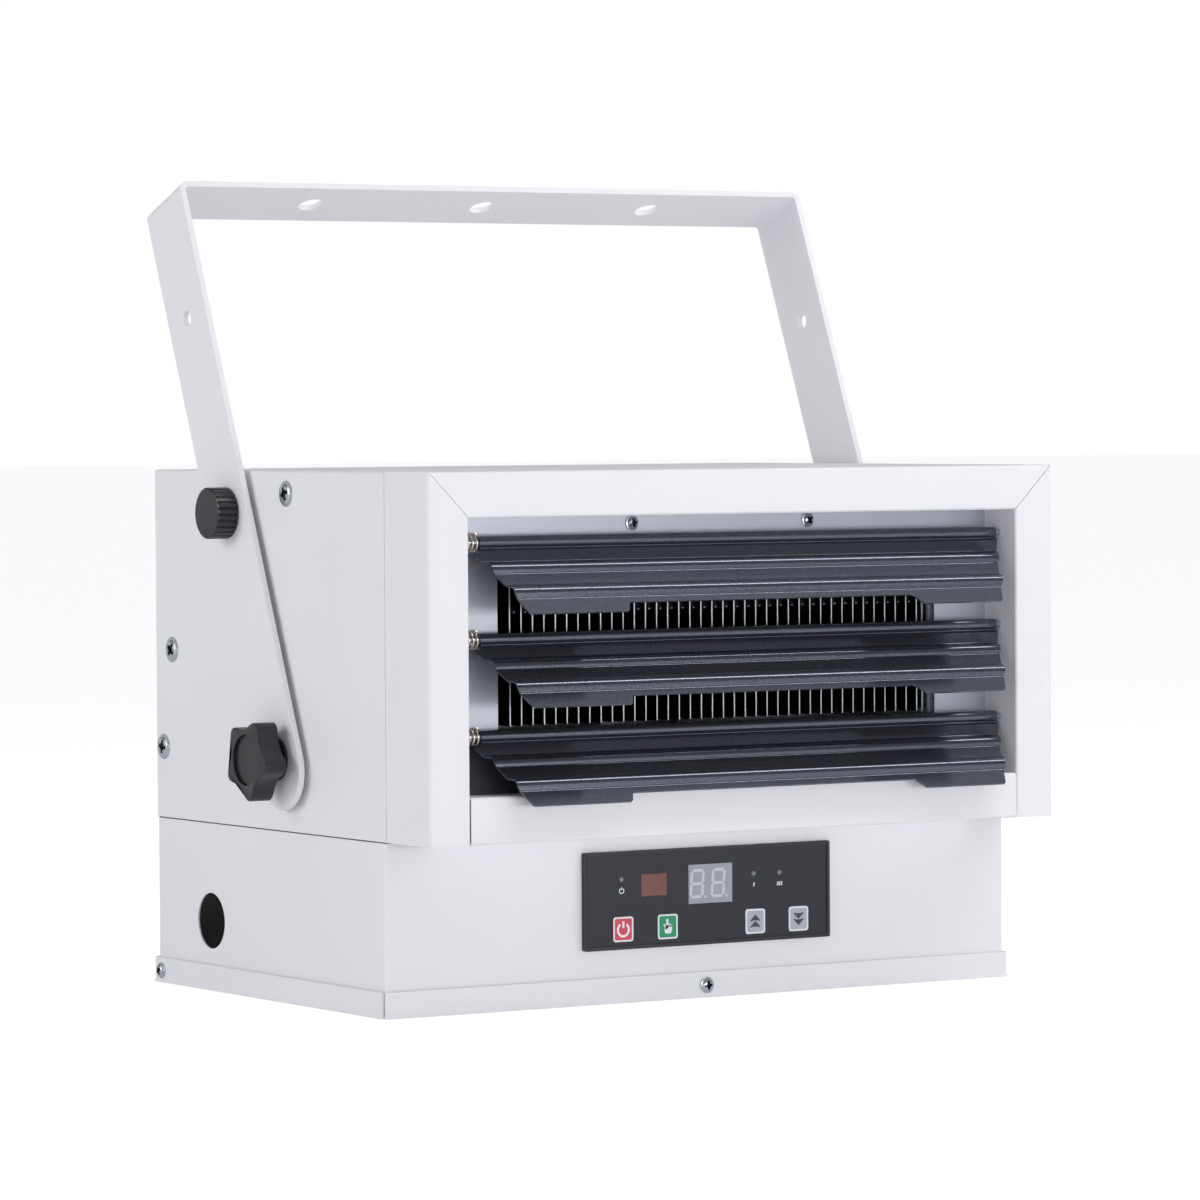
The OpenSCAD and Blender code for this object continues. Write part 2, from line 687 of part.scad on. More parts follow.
// Louvre hanging straight down from its hinge axis, facing forwards
module louvre() difference() {
    union() {
        intersection() {
            translate([-open_x, 0, 0]) rotate([0, 90, 0]) linear_extrude(2 * open_x)
                mirror([0, 1]) blade_section();
            rotate([90, 0, 0]) translate([0, 0, -10]) linear_extrude(20) mirror([0, 1]) blade_outline();
        }
        translate([roll_left, 0, 0]) rotate([0, 90, 0])
            cylinder(d = roll_d, h = roll_right - roll_left - roll_step);
    }
    translate([-open_x, 0, 0]) rotate([0, 90, 0]) cylinder(r = pin_d / 2 + run_r, h = 2 * open_x);
}

module louvre_at(i) color(charcoal) heater() translate([0, hinge_y, hinge_z(i)])
    rotate([-louvre_rest[i], 0, 0]) louvre();

module louvre_top() louvre_at(0);
module louvre_middle() louvre_at(1);
module louvre_bottom() louvre_at(2);

// Headed pins through the stiles' inner walls
module hinge_pins() color(zinc) heater() for (i = [0 : louvre_n - 1], s = [-1, 1]) {
    tip = s < 0 ? -roll_left - pin_reach : roll_right - pin_reach;
    on_side(s, hinge_y, hinge_z(i), tip) cylinder(d = pin_d, h = open_x - tip);
    on_side(s, hinge_y, hinge_z(i), open_x + sheet_t) cylinder(d = 6, h = 1.4);
    on_side(s, hinge_y, hinge_z(i), open_x - eps) cylinder(d = pin_d - 0.2, h = sheet_t + 2 * eps);
}

// Compression spring between the left wall and the louvre's rolled edge
coil_run = spring_len - 2 * wire_d;
coil_path = concat(
    [[0, spring_d / 2, 0]],
    [for (i = [0 : coil_turns * coil_steps]) let (a = i * 360 / coil_steps)
        [wire_d + coil_run * i / (coil_turns * coil_steps), spring_d / 2 * cos(a), spring_d / 2 * sin(a)]],
    [[spring_len, spring_d / 2, 0]]
);
coil_gap = min([for (i = [1 : len(coil_path) - coil_steps - 2])
    norm(coil_path[i + coil_steps] - coil_path[i])]) - wire_d;
echo(str("least gap between the spring's turns: ", coil_gap, " mm"));

module spring() {
    n = len(coil_path);
    skin([for (i = [0 : n - 1]) let (
        t = unit(coil_path[min(i + 1, n - 1)] - coil_path[max(i - 1, 0)]),
        dir = i == 0 || i == n - 1 ? [1, 0, 0] : t,
        out = i == 0 || i == n - 1 ? [0, 1, 0] : unit([0, coil_path[i][1], coil_path[i][2]]),
        side = unit(cross(dir, out)), up = cross(side, dir)
    ) [for (k = [0 : 5]) coil_path[i] + wire_d / 2 * (up * cos(60 * k) + side * sin(60 * k))]]);
}

module louvre_springs() color(nickel) heater() for (i = [0 : louvre_n - 1])
    translate([-open_x + seat, hinge_y, hinge_z(i)]) spring();

// ---- Heating element -----------------------------------------------------

// Fins pressed on the tubes, joined by the collars drawn from each fin
module fin_pack() color("#C9CDD2") heater() difference() {
    half = fin_pitch * (fin_n - 1) / 2;
    union() {
        for (i = [0 : fin_n - 1]) translate([-half + i * fin_pitch - fin_t / 2, fin_front, fin_bottom])
            cube([fin_t, fin_d, fin_top - fin_bottom]);
        for (y = tube_cols, z = tube_rows) translate([-half, y, z]) rotate([0, 90, 0])
            cylinder(d = collar_d, h = 2 * half);
    }
    for (y = tube_cols, z = tube_rows) translate([-half - 1, y, z]) rotate([0, 90, 0])
        cylinder(r = tube_d / 2 + run_r, h = 2 * half + 2);
}

// Two hairpin tubes, with their bends on the left and their ends on the right
module heater_tubes() color("#8B8F94") heater() for (z = tube_rows) {
    reach = bracket_x + 4;
    mid_y = (tube_cols[0] + tube_cols[1]) / 2;
    bend_r = (tube_cols[1] - tube_cols[0]) / 2;
    for (y = tube_cols) translate([-reach, y, z]) rotate([0, 90, 0]) cylinder(d = tube_d, h = 2 * reach + 8);
    translate([-reach, mid_y, z]) intersection() {
        rotate_extrude() translate([bend_r, 0]) circle(d = tube_d);
        translate([-2 * bend_r, -2 * bend_r, -tube_d]) cube([2 * bend_r, 4 * bend_r, 2 * tube_d]);
    }
}

// Folded plates that carry the tubes at both ends and stand on the divider
module element_brackets() color(zinc) heater() for (s = [-1, 1]) difference() {
    low = lower_top + sheet_t;
    step_z = seam_z + sheet_t + 2;
    near = plate_y + window_flange + seat;
    foot_y = frame_back_y + seat;
    foot_d = fin_back - foot_y;
    union() {
        translate([s * bracket_x - sheet_t / 2, 0, 0]) {
            translate([0, near, step_z]) cube([sheet_t, fin_back - near, window_top - 6 - step_z]);
            translate([0, foot_y, low]) cube([sheet_t, foot_d, step_z - low + eps]);
        }
        translate([s * (bracket_x + 6) - 6 - sheet_t / 2, foot_y, low]) cube([12 + sheet_t, foot_d, sheet_t]);
    }
    for (y = tube_cols, z = tube_rows) translate([s * bracket_x - 5, y, z]) rotate([0, 90, 0])
        cylinder(r = tube_d / 2 + run_r, h = 10);
}

// Arch of thin sheet round the element, from the front frame to the shroud
module heat_shield() color("#A9ADB2") heater()
    translate([0, shroud_y - 2, lower_top + sheet_t]) rotate([90, 0, 0])
        linear_extrude(shroud_y - 2 - frame_back_y - seat)
            sheet_arch(2 * shield_x, window_top + 14 - lower_top - sheet_t, 0.8, 2);

// Cut-out clipped on top of the shield
module thermal_cutout() color(black) heater() translate([60, fin_back + 8, window_top + 14.8]) {
    cylinder(d = 16, h = 7);
    translate([-12, -4, 0]) cube([24, 8, 1.2]);
    for (x = [-4, 4]) translate([x - 1, -3, 6]) cube([2, 6, 5]);
}

// ---- Fan -----------------------------------------------------------------

// Full plate across the casing with a drawn ring round the fan
module fan_shroud() color(light_grey) heater() {
    x = side_x - sheet_t - seat;
    z0 = lower_top + sheet_t;
    z1 = top_z - sheet_t - seat;
    lip = 14;
    difference() {
        union() {
            translate([-x, shroud_y, z0]) cube([2 * x, sheet_t, z1 - z0]);
            translate([0, shroud_y, fan_z]) rotate([-90, 0, 0]) cylinder(r = ring_r + sheet_t, h = lip);
        }
        translate([0, shroud_y - 1, fan_z]) rotate([-90, 0, 0]) cylinder(r = ring_r, h = lip + 2);
        insert_room();
    }
}

// Blade: part of a thin curved sheet set at the pitch angle, cut to its outline
module blade() {
    camber_r = 70;
    intersection() {
        translate([0, 0, hub_h / 2]) rotate([blade_pitch, 0, 0]) translate([0, 0, -camber_r])
            rotate([0, 90, 0]) difference() {
                cylinder(r = camber_r, h = fan_d / 2, $fn = 96);
                translate([0, 0, -1]) cylinder(r = camber_r - 1.2, h = fan_d / 2 + 2, $fn = 96);
            }
        translate([0, 0, -20]) linear_extrude(60) intersection() {
            circle(d = fan_d);
            polygon([[hub_d / 2 - 3, -9], [fan_d / 2 + 1, -23], [fan_d / 2 + 1, 25], [hub_d / 2 - 3, 11]]);
        }
    }
}

module fan_blade() color("#9CA1A6") heater() translate([0, fan_y, fan_z]) rotate([-90, 0, 0]) difference() {
    union() {
        for (i = [0 : blade_n - 1]) rotate(i * 360 / blade_n) blade();
        cylinder(d = hub_d, h = hub_h);
    }
    translate([0, 0, -1]) cylinder(d = shaft_d, h = hub_h + 2);
    translate([0, 0, -1]) cylinder(d = hub_d - 8, h = hub_recess + 1);
}

module fan_nut() color(zinc) heater()
    translate([0, fan_y + hub_recess - nut_h, fan_z]) rotate([-90, 0, 0]) difference() {
        cylinder(d = 13, h = nut_h, $fn = 6);
        translate([0, 0, -1]) cylinder(d = shaft_d, h = nut_h + 2);
    }

module motor_shaft() color(zinc) heater() translate([0, fan_y - 3, fan_z]) rotate([-90, 0, 0])
    cylinder(d = shaft_d, h = motor_y - fan_y + motor_len + 3 + 1);

// Shaded-pole motor: a stack of sheets between two end bells
module fan_motor() color("#70757B") heater() translate([0, motor_y, fan_z]) rotate([-90, 0, 0]) difference() {
    union() {
        translate([0, 0, 10]) cylinder(d = motor_d, h = motor_len - 20);
        for (side = [0, 1]) translate([0, 0, side * motor_len]) mirror([0, 0, side]) {
            cylinder(d1 = motor_d * 0.45, d2 = motor_d - 8, h = 10, $fn = 64);
        }
        translate([0, 0, -4]) cylinder(d = 22, h = motor_len + 4);
    }
    translate([0, 0, -5]) cylinder(r = shaft_d / 2 + run_r, h = motor_len + 10);
}

// Flat straps from wall to wall that carry the motor
module motor_bracket() color(zinc) heater() {
    x = side_x - sheet_t - seat;
    arm_h = 22;
    difference() {
        union() {
            translate([-x, strap_y, fan_z - arm_h / 2]) cube([2 * x, 2, arm_h]);
            for (s = [-1, 1]) translate([s * (x - 1) - 1, strap_y, fan_z - arm_h / 2]) cube([2, 20, arm_h]);
            translate([0, strap_y, fan_z]) rotate([-90, 0, 0]) cylinder(r = motor_d / 2 + 8, h = 14);
        }
        translate([0, strap_y - 1, fan_z]) rotate([-90, 0, 0]) cylinder(r = motor_d / 2 + seat, h = 20);
        difference() {
            translate([0, strap_y + 2, fan_z]) rotate([-90, 0, 0]) cylinder(r = motor_d / 2 + 9, h = 20);
            translate([0, strap_y, fan_z]) rotate([-90, 0, 0]) cylinder(r = motor_d / 2 + seat + 1.5, h = 12);
        }
    }
}

// ---- Control panel -------------------------------------------------------

// Raised frame round the panel, with a tube behind it through the casing's cut-out
module control_bezel() color(black) heater() facing(panel_x, lower_y, panel_z) difference() {
    tube_w = panel_w - 2 * bezel_step - 2 * seat;
    tube_h = panel_h - 2 * bezel_step - 2 * seat;
    ledge = bezel_proud - overlay_sink - overlay_t;
    union() {
        linear_extrude(bezel_proud) translate([0, -panel_h / 2]) round_rect(panel_w, panel_h, 1);
        translate([0, 0, -bezel_back]) linear_extrude(bezel_back + eps)
            square([tube_w, tube_h], center = true);
    }
    translate([0, 0, ledge]) linear_extrude(4) translate([0, -panel_h / 2 + bezel_rim])
        round_rect(panel_w - 2 * bezel_rim, panel_h - 2 * bezel_rim, 0.6);
    translate([0, 0, -bezel_back - 1]) linear_extrude(10)
        square([tube_w - 2 * bezel_wall, tube_h - 2 * bezel_wall], center = true);
}

// Places a piece on the panel's face, at x and z from the panel's centre
module on_panel(at, y = overlay_y) facing(panel_x + at[0], y, panel_z + at[1]) children();

module key_shape(grow = 0) translate([0, -button_h / 2 - grow])
    round_rect(button_w + 2 * grow, button_h + 2 * grow, 1.4 + grow);

module control_overlay() color(charcoal) heater() difference() {
    on_panel([0, 0]) translate([0, 0, -overlay_t]) linear_extrude(overlay_t)
        translate([0, -panel_h / 2 + bezel_rim + 0.1])
            round_rect(panel_w - 2 * bezel_rim - 0.2, panel_h - 2 * bezel_rim - 0.2, 0.5);
    for (x = key_x) on_panel([x, key_row]) translate([0, 0, -5]) linear_extrude(10) key_shape(key_gap);
    for (p = lens_at) on_panel(p) translate([0, 0, -5]) cylinder(d = lens_d + 0.2, h = 10);
    on_panel(receiver_at) translate([0, 0, -5]) linear_extrude(10)
        square([receiver_size[0] + 0.2, receiver_size[1] + 0.2], center = true);
    on_panel(display_at) translate([0, 0, -5]) linear_extrude(10)
        square([display_size[0] + 0.2, display_size[1] + 0.2], center = true);
}

module display_window() color("#9FA2A9") heater() on_panel(display_at)
    translate([0, 0, -overlay_t]) linear_extrude(overlay_t - 0.1) square(display_size, center = true);

module receiver_window() color("#7A4A42") heater() on_panel(receiver_at)
    translate([0, 0, -overlay_t]) linear_extrude(overlay_t - 0.1) square(receiver_size, center = true);

module indicator_lenses() color("#8A8D94") heater() for (p = lens_at) on_panel(p) {
    translate([0, 0, -overlay_t - 2]) cylinder(d = lens_d, h = overlay_t + 1.6);
    intersection() {
        translate([0, 0, -0.8]) sphere(d = lens_d + 0.4);
        translate([0, 0, -0.6]) cylinder(d = lens_d, h = 1.4);
    }
}

// Push button with a collar behind the overlay, so that it can't fall out
module push_button(i, tint) color(tint) heater() on_panel([key_x[i], key_row]) {
    translate([0, 0, -overlay_t - 1]) linear_extrude(overlay_t + 1 + key_proud) key_shape();
    translate([0, 0, -overlay_t - 1.3]) linear_extrude(1) key_shape(0.9);
}

module power_button() push_button(0, "#D6455A");
module mode_button() push_button(1, "#1F9E6B");
module up_button() push_button(2, "#B9BEC6");
module down_button() push_button(3, "#B9BEC6");

module control_board() color("#2F6B4A") heater() on_panel([0, 0], board_y) translate([0, 0, -board_t])
    linear_extrude(board_t)
        square([panel_w - 2 * bezel_step - 2 * seat, panel_h - 2 * bezel_step - 2 * seat], center = true);

// Key switches on the board, each with its plunger behind a button
module key_switches() color(black) heater() for (x = key_x) on_panel([x, key_row], board_y) {
    depth = board_y - overlay_y - overlay_t - 1.3 - key_travel - seat;
    translate([-3, -3, 0]) cube([6, 6, depth - 1.5]);
    cylinder(d = 3.4, h = depth);
}

module display_module() color("#D8D9DC") heater() on_panel(display_at, board_y)
    linear_extrude(board_y - overlay_y - overlay_t - seat)
        square([display_size[0] - 1.5, display_size[1] - 1.5], center = true);

// ---- Wiring parts in the lower casing ------------------------------------

module heater_relays() color("#31518C") heater() for (i = [0 : 1]) translate([-30 + i * 40, 20, floor_z]) {
    cube([30, 40, 24]);
    translate([-3, 8, 0]) cube([36, 24, 2]);
}

module terminal_block() color("#D9D4C4") heater() translate([-150, 30, floor_z]) difference() {
    cube([36, 72, 22]);
    for (i = [0 : 3]) {
        translate([-1, 6 + i * 16, 12]) cube([38, 12, 11]);
        translate([18, 12 + i * 16, 4]) cylinder(d = 5, h = 10);
    }
}

module earth_lug() color("#B08D4A") heater() translate([-100, 100, floor_z]) {
    cylinder(d = 10, h = 3, $fn = 6);
    cylinder(d = 5, h = 12);
    translate([0, 0, 5]) cylinder(d = 9, h = 3, $fn = 6);
}

mounting_bracket();
star_knob_left();
star_knob_right();
lock_knob_left();
lock_knob_right();
spacer_washers();
threaded_inserts();
index_screws();
frame_top_rail();
frame_left_stile();
frame_right_stile();
frame_bottom_rail();
upper_casing();
divider_plate();
lower_casing();
bottom_cover();
cover_screws();
rear_panel();
rear_screws();
outlet_plate();
plate_screws();
outlet_deflector();
hinge_pins();
louvre_springs();
louvre_top();
louvre_middle();
louvre_bottom();
fin_pack();
heater_tubes();
element_brackets();
heat_shield();
thermal_cutout();
fan_shroud();
fan_blade();
fan_nut();
motor_shaft();
fan_motor();
motor_bracket();
control_bezel();
control_overlay();
display_window();
receiver_window();
indicator_lenses();
power_button();
mode_button();
up_button();
down_button();
control_board();
key_switches();
display_module();
heater_relays();
terminal_block();
earth_lug();
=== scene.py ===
import bmesh
import bpy
import json
import math
from mathutils import Matrix, Vector

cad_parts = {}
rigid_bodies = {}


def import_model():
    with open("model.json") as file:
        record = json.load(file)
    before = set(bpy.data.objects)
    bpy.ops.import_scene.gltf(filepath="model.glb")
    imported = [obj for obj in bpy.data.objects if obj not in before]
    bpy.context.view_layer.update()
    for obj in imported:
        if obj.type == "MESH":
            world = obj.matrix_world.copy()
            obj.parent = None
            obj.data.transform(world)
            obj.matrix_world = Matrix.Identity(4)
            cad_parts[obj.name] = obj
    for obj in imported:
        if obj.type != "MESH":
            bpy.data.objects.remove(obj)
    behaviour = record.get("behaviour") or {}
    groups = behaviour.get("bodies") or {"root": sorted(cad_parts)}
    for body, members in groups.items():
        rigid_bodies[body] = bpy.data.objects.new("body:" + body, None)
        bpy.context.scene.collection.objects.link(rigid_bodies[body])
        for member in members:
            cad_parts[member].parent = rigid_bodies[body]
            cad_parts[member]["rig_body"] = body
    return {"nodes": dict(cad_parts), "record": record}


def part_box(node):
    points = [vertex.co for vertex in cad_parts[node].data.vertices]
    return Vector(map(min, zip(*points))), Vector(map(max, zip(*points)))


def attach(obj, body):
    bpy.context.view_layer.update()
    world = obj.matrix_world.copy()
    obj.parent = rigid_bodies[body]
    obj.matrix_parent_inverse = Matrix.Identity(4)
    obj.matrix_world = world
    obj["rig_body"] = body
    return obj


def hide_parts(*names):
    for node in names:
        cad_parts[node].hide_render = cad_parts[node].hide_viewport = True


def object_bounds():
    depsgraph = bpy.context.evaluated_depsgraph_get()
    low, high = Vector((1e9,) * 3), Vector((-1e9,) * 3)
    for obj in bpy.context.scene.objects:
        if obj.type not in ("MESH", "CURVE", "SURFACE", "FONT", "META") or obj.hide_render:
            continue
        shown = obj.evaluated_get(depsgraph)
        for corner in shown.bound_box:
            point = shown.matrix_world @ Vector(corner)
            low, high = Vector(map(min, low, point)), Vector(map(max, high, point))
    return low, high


# Ceiling mounted fan heater: looks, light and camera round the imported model.
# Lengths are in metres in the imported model's frame, and mm turns a real size into metres.
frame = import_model()
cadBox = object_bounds()
nodes = frame["nodes"]
mm = 0.001
print("stage: model loaded,", len(nodes), "nodes")


# Camera
cameraSetup = {
    "place": (-1.5868, -2.63949, -0.11413),  # left of and before the heater, a little above its middle
    "azimuth": -32.1677,   # degrees, seen from the left
    "lookDown": 1.8174,
    "roll": -0.3543,
    "lens": 173.46,        # mm on a 36 mm sensor, for a square picture
}


def addCamera(setup):
    azimuth, down, roll = (math.radians(setup[k]) for k in ("azimuth", "lookDown", "roll"))
    back = Vector((math.sin(azimuth) * math.cos(down), -math.cos(azimuth) * math.cos(down), math.sin(down)))
    right = (-back).cross(Vector((0, 0, 1))).normalized()
    up = right.cross(-back)
    rolledRight = math.cos(roll) * right + math.sin(roll) * up
    rolledUp = -math.sin(roll) * right + math.cos(roll) * up
    data = bpy.data.cameras.new("camera")
    data.lens = setup["lens"]
    data.sensor_width = 36
    data.clip_end = 50
    camera = bpy.data.objects.new("camera", data)
    camera.matrix_world = Matrix((
        (rolledRight.x, rolledUp.x, back.x, setup["place"][0]),
        (rolledRight.y, rolledUp.y, back.y, setup["place"][1]),
        (rolledRight.z, rolledUp.z, back.z, setup["place"][2]),
        (0, 0, 0, 1),
    ))
    bpy.context.scene.collection.objects.link(camera)
    bpy.context.scene.camera = camera


addCamera(cameraSetup)
bpy.context.scene.view_settings.view_transform = "Standard"


# Materials
def linearColour(code):
    # sRGB hex to the linear values that the nodes take
    parts = [int(code[i:i + 2], 16) / 255 for i in (1, 3, 5)]
    return tuple(p / 12.92 if p <= 0.04045 else ((p + 0.055) / 1.055) ** 2.4 for p in parts) + (1.0,)


def addNode(tree, kind, values=None, links=None, **settings):
    # one node, with its settings, its input values and what its inputs are linked from
    node = tree.nodes.new(kind)
    for name, value in settings.items():
        setattr(node, name, value)
    for name, value in (values or {}).items():
        node.inputs[name].default_value = value
    for name, source in (links or {}).items():
        tree.links.new(source, node.inputs[name])
    return node


def newMaterial(name):
    material = bpy.data.materials.new(name)
    material.use_nodes = True
    tree = material.node_tree
    tree.nodes.clear()
    return material, tree


def closeMaterial(tree, values, links, bump=None):
    # ends a material in a Principled shader, with a bump of (height output, strength, real depth in mm)
    shader = addNode(tree, "ShaderNodeBsdfPrincipled", values, links)
    if bump:
        height, strength, depth = bump
        bumpNode = addNode(tree, "ShaderNodeBump", {"Strength": strength, "Distance": depth * mm}, {"Height": height})
        tree.links.new(bumpNode.outputs["Normal"], shader.inputs["Normal"])
    addNode(tree, "ShaderNodeOutputMaterial", links={"Surface": shader.outputs["BSDF"]})


def perMetre(size):
    # pattern scale for features of a real size in mm
    return 1000 / size


grainDepth = 0.04  # mm, of a mould's eroded grain
lineDepth = 0.03   # mm, of rolling and drawing lines
# how far the roughness drifts below and above the stated one
powderDrift, mouldDrift, metalDrift = (0.04, 0.05), (0.05, 0.06), (0.05, 0.1)


def clouded(tree, size, low, high):
    # a colour that drifts between two hex values in soft clouds of a real size in mm
    place = addNode(tree, "ShaderNodeTexCoord")
    cloud = addNode(tree, "ShaderNodeTexNoise", {"Scale": perMetre(size), "Detail": 2.0, "Roughness": 0.55},
                    {"Vector": place.outputs["Object"]})
    tint = addNode(tree, "ShaderNodeMix", {"A": linearColour(low), "B": linearColour(high)},
                   {"Factor": cloud.outputs["Fac"]}, data_type="RGBA")
    return tint.outputs["Result"]


def powderCoat(name, setup):
    # epoxy-polyester powder baked on sheet steel: an even satin colour with a faint orange peel.
    # The peel's waves are "peel" mm across, with grit a quarter as wide on them.
    material, tree = newMaterial(name)
    colour = clouded(tree, setup["cloud"], setup["shade"], setup["colour"])
    place = addNode(tree, "ShaderNodeTexCoord")
    peel = addNode(tree, "ShaderNodeTexNoise", {"Scale": perMetre(setup["peel"]), "Detail": 1.0},
                   {"Vector": place.outputs["Object"]})
    grit = addNode(tree, "ShaderNodeTexNoise", {"Scale": perMetre(setup["peel"] / 4), "Detail": 2.0},
                   {"Vector": place.outputs["Object"]})
    both = addNode(tree, "ShaderNodeMath", {1: 0.35}, {0: grit.outputs["Fac"], 2: peel.outputs["Fac"]},
                   operation="MULTIPLY_ADD")
    rough = addNode(tree, "ShaderNodeMapRange",
                    {"To Min": setup["roughness"] - powderDrift[0], "To Max": setup["roughness"] + powderDrift[1]},
                    {"Value": grit.outputs["Fac"]})
    closeMaterial(tree, {"IOR": 1.5, "Specular IOR Level": 0.45},
                  {"Base Color": colour, "Roughness": rough.outputs["Result"]},
                  (both.outputs["Value"], setup["bump"], setup["depth"]))
    return material


# casing, frame and bracket: satin and nearly even, a touch cool
whitePowder = powderCoat("whitePowderCoatedSteel", {
    "colour": "#F3F3F6", "shade": "#EEEEF2", "cloud": 60, "peel": 1.6, "roughness": 0.46, "bump": 0.2, "depth": 0.05})
# the same coat in charcoal, on the sheet parts behind the louvres
blackPowder = powderCoat("blackPowderCoatedSteel", {
    "colour": "#4A4C53", "shade": "#3E4047", "cloud": 30, "peel": 1.4, "roughness": 0.42, "bump": 0.3, "depth": 0.05})


def sparklePowder(name, setup):
    # charcoal powder with aluminium flakes in it: dark, with a grey speckle and a smooth metallic sheen
    material, tree = newMaterial(name)
    place = addNode(tree, "ShaderNodeTexCoord")
    flakes = addNode(tree, "ShaderNodeTexNoise", {"Scale": perMetre(setup["flake"]), "Detail": 3.0, "Roughness": 0.8},
                     {"Vector": place.outputs["Object"]})
    level = addNode(tree, "ShaderNodeMapRange", {"From Min": 0.35, "From Max": 0.65},
                    {"Value": flakes.outputs["Fac"]})
    tint = addNode(tree, "ShaderNodeMix", {"A": linearColour(setup["dark"]), "B": linearColour(setup["light"])},
                   {"Factor": level.outputs["Result"]}, data_type="RGBA")
    closeMaterial(tree, {"Metallic": setup["metallic"], "Roughness": setup["roughness"]},
                  {"Base Color": tint.outputs["Result"]})
    return material


# the flakes are drawn 0.6 mm across, because the real 0.05 mm is too fine to show
louvrePaint = sparklePowder("charcoalSparklePowder", {
    "dark": "#4A4D57", "light": "#7D818D", "flake": 0.6, "roughness": 0.17, "metallic": 0.85})


def mouldedPlastic(name, setup):
    # injection moulded plastic: soft sheen, with the fine grain of an eroded mould
    material, tree = newMaterial(name)
    colour = clouded(tree, setup["cloud"], setup["shade"], setup["colour"])
    place = addNode(tree, "ShaderNodeTexCoord")
    grain = addNode(tree, "ShaderNodeTexNoise", {"Scale": perMetre(setup["grain"]), "Detail": 3.0},
                    {"Vector": place.outputs["Object"]})
    rough = addNode(tree, "ShaderNodeMapRange",
                    {"To Min": setup["roughness"] - mouldDrift[0], "To Max": setup["roughness"] + mouldDrift[1]},
                    {"Value": grain.outputs["Fac"]})
    closeMaterial(tree, {"IOR": 1.53, "Specular IOR Level": setup.get("specular", 0.5)},
                  {"Base Color": colour, "Roughness": rough.outputs["Result"]},
                  (grain.outputs["Fac"], setup["bump"], grainDepth))
    return material


# knobs and panel: glass-filled nylon, ABS, printed polyester film and silicone keys
knobPlastic = mouldedPlastic("blackMouldedNylon", {
    "colour": "#191B21", "shade": "#15171C", "cloud": 9, "grain": 0.35, "roughness": 0.36, "bump": 0.2})
bezelPlastic = mouldedPlastic("blackMouldedAbs", {
    "colour": "#211D1F", "shade": "#1C191B", "cloud": 12, "grain": 0.3, "roughness": 0.36, "bump": 0.15})
overlayFilm = mouldedPlastic("charcoalPolyesterFilm", {
    "colour": "#2D3038", "shade": "#2B2D35", "cloud": 14, "grain": 0.25, "roughness": 0.42, "bump": 0.1,
    "specular": 0.3})
redPlastic = mouldedPlastic("redSiliconeKey", {
    "colour": "#DC4A5C", "shade": "#D3404F", "cloud": 5, "grain": 0.25, "roughness": 0.42, "bump": 0.1})
greenPlastic = mouldedPlastic("greenSiliconeKey", {
    "colour": "#0E9A68", "shade": "#0B8F5F", "cloud": 5, "grain": 0.25, "roughness": 0.42, "bump": 0.1})
greyPlastic = mouldedPlastic("greySiliconeKey", {
    "colour": "#B7BDC8", "shade": "#ACB2BD", "cloud": 5, "grain": 0.25, "roughness": 0.42, "bump": 0.1})
# screen print, a matt layer of ink on the film and the keys
whiteInk = mouldedPlastic("whiteScreenInk", {
    "colour": "#F3F4F7", "shade": "#ECEDF1", "cloud": 4, "grain": 0.2, "roughness": 0.5, "bump": 0.08})
darkInk = mouldedPlastic("charcoalScreenInk", {
    "colour": "#3F4149", "shade": "#3A3C43", "cloud": 4, "grain": 0.2, "roughness": 0.5, "bump": 0.08})
# windows, digits and lamps: smooth clear plastics that look opaque with nothing lit behind them
displayAcrylic = mouldedPlastic("greyDisplayAcrylic", {
    "colour": "#A9ACB3", "shade": "#9A9DA5", "cloud": 7, "grain": 0.3, "roughness": 0.3, "bump": 0.05})
digitPlastic = mouldedPlastic("paleSegmentResin", {
    "colour": "#D2D4D9", "shade": "#C9CBD1", "cloud": 3, "grain": 0.2, "roughness": 0.45, "bump": 0.05})
receiverAcrylic = mouldedPlastic("darkRedInfraredAcrylic", {
    "colour": "#86534A", "shade": "#6B3D37", "cloud": 5, "grain": 0.4, "roughness": 0.3, "bump": 0.05})
lensPlastic = mouldedPlastic("smokedLensEpoxy", {
    "colour": "#8D9098", "shade": "#7A7D85", "cloud": 1.2, "grain": 0.3, "roughness": 0.3, "bump": 0.05})
# electrical parts inside
boardLacquer = mouldedPlastic("greenSolderResist", {
    "colour": "#2E6A49", "shade": "#265B3E", "cloud": 6, "grain": 0.4, "roughness": 0.35, "bump": 0.15})
moduleResin = mouldedPlastic("ivoryPottingResin", {
    "colour": "#D8D4C6", "shade": "#CFCBBD", "cloud": 9, "grain": 0.4, "roughness": 0.45, "bump": 0.15})
relayPlastic = mouldedPlastic("blueRelayPolyester", {
    "colour": "#2F4F8A", "shade": "#28457A", "cloud": 9, "grain": 0.4, "roughness": 0.4, "bump": 0.15})


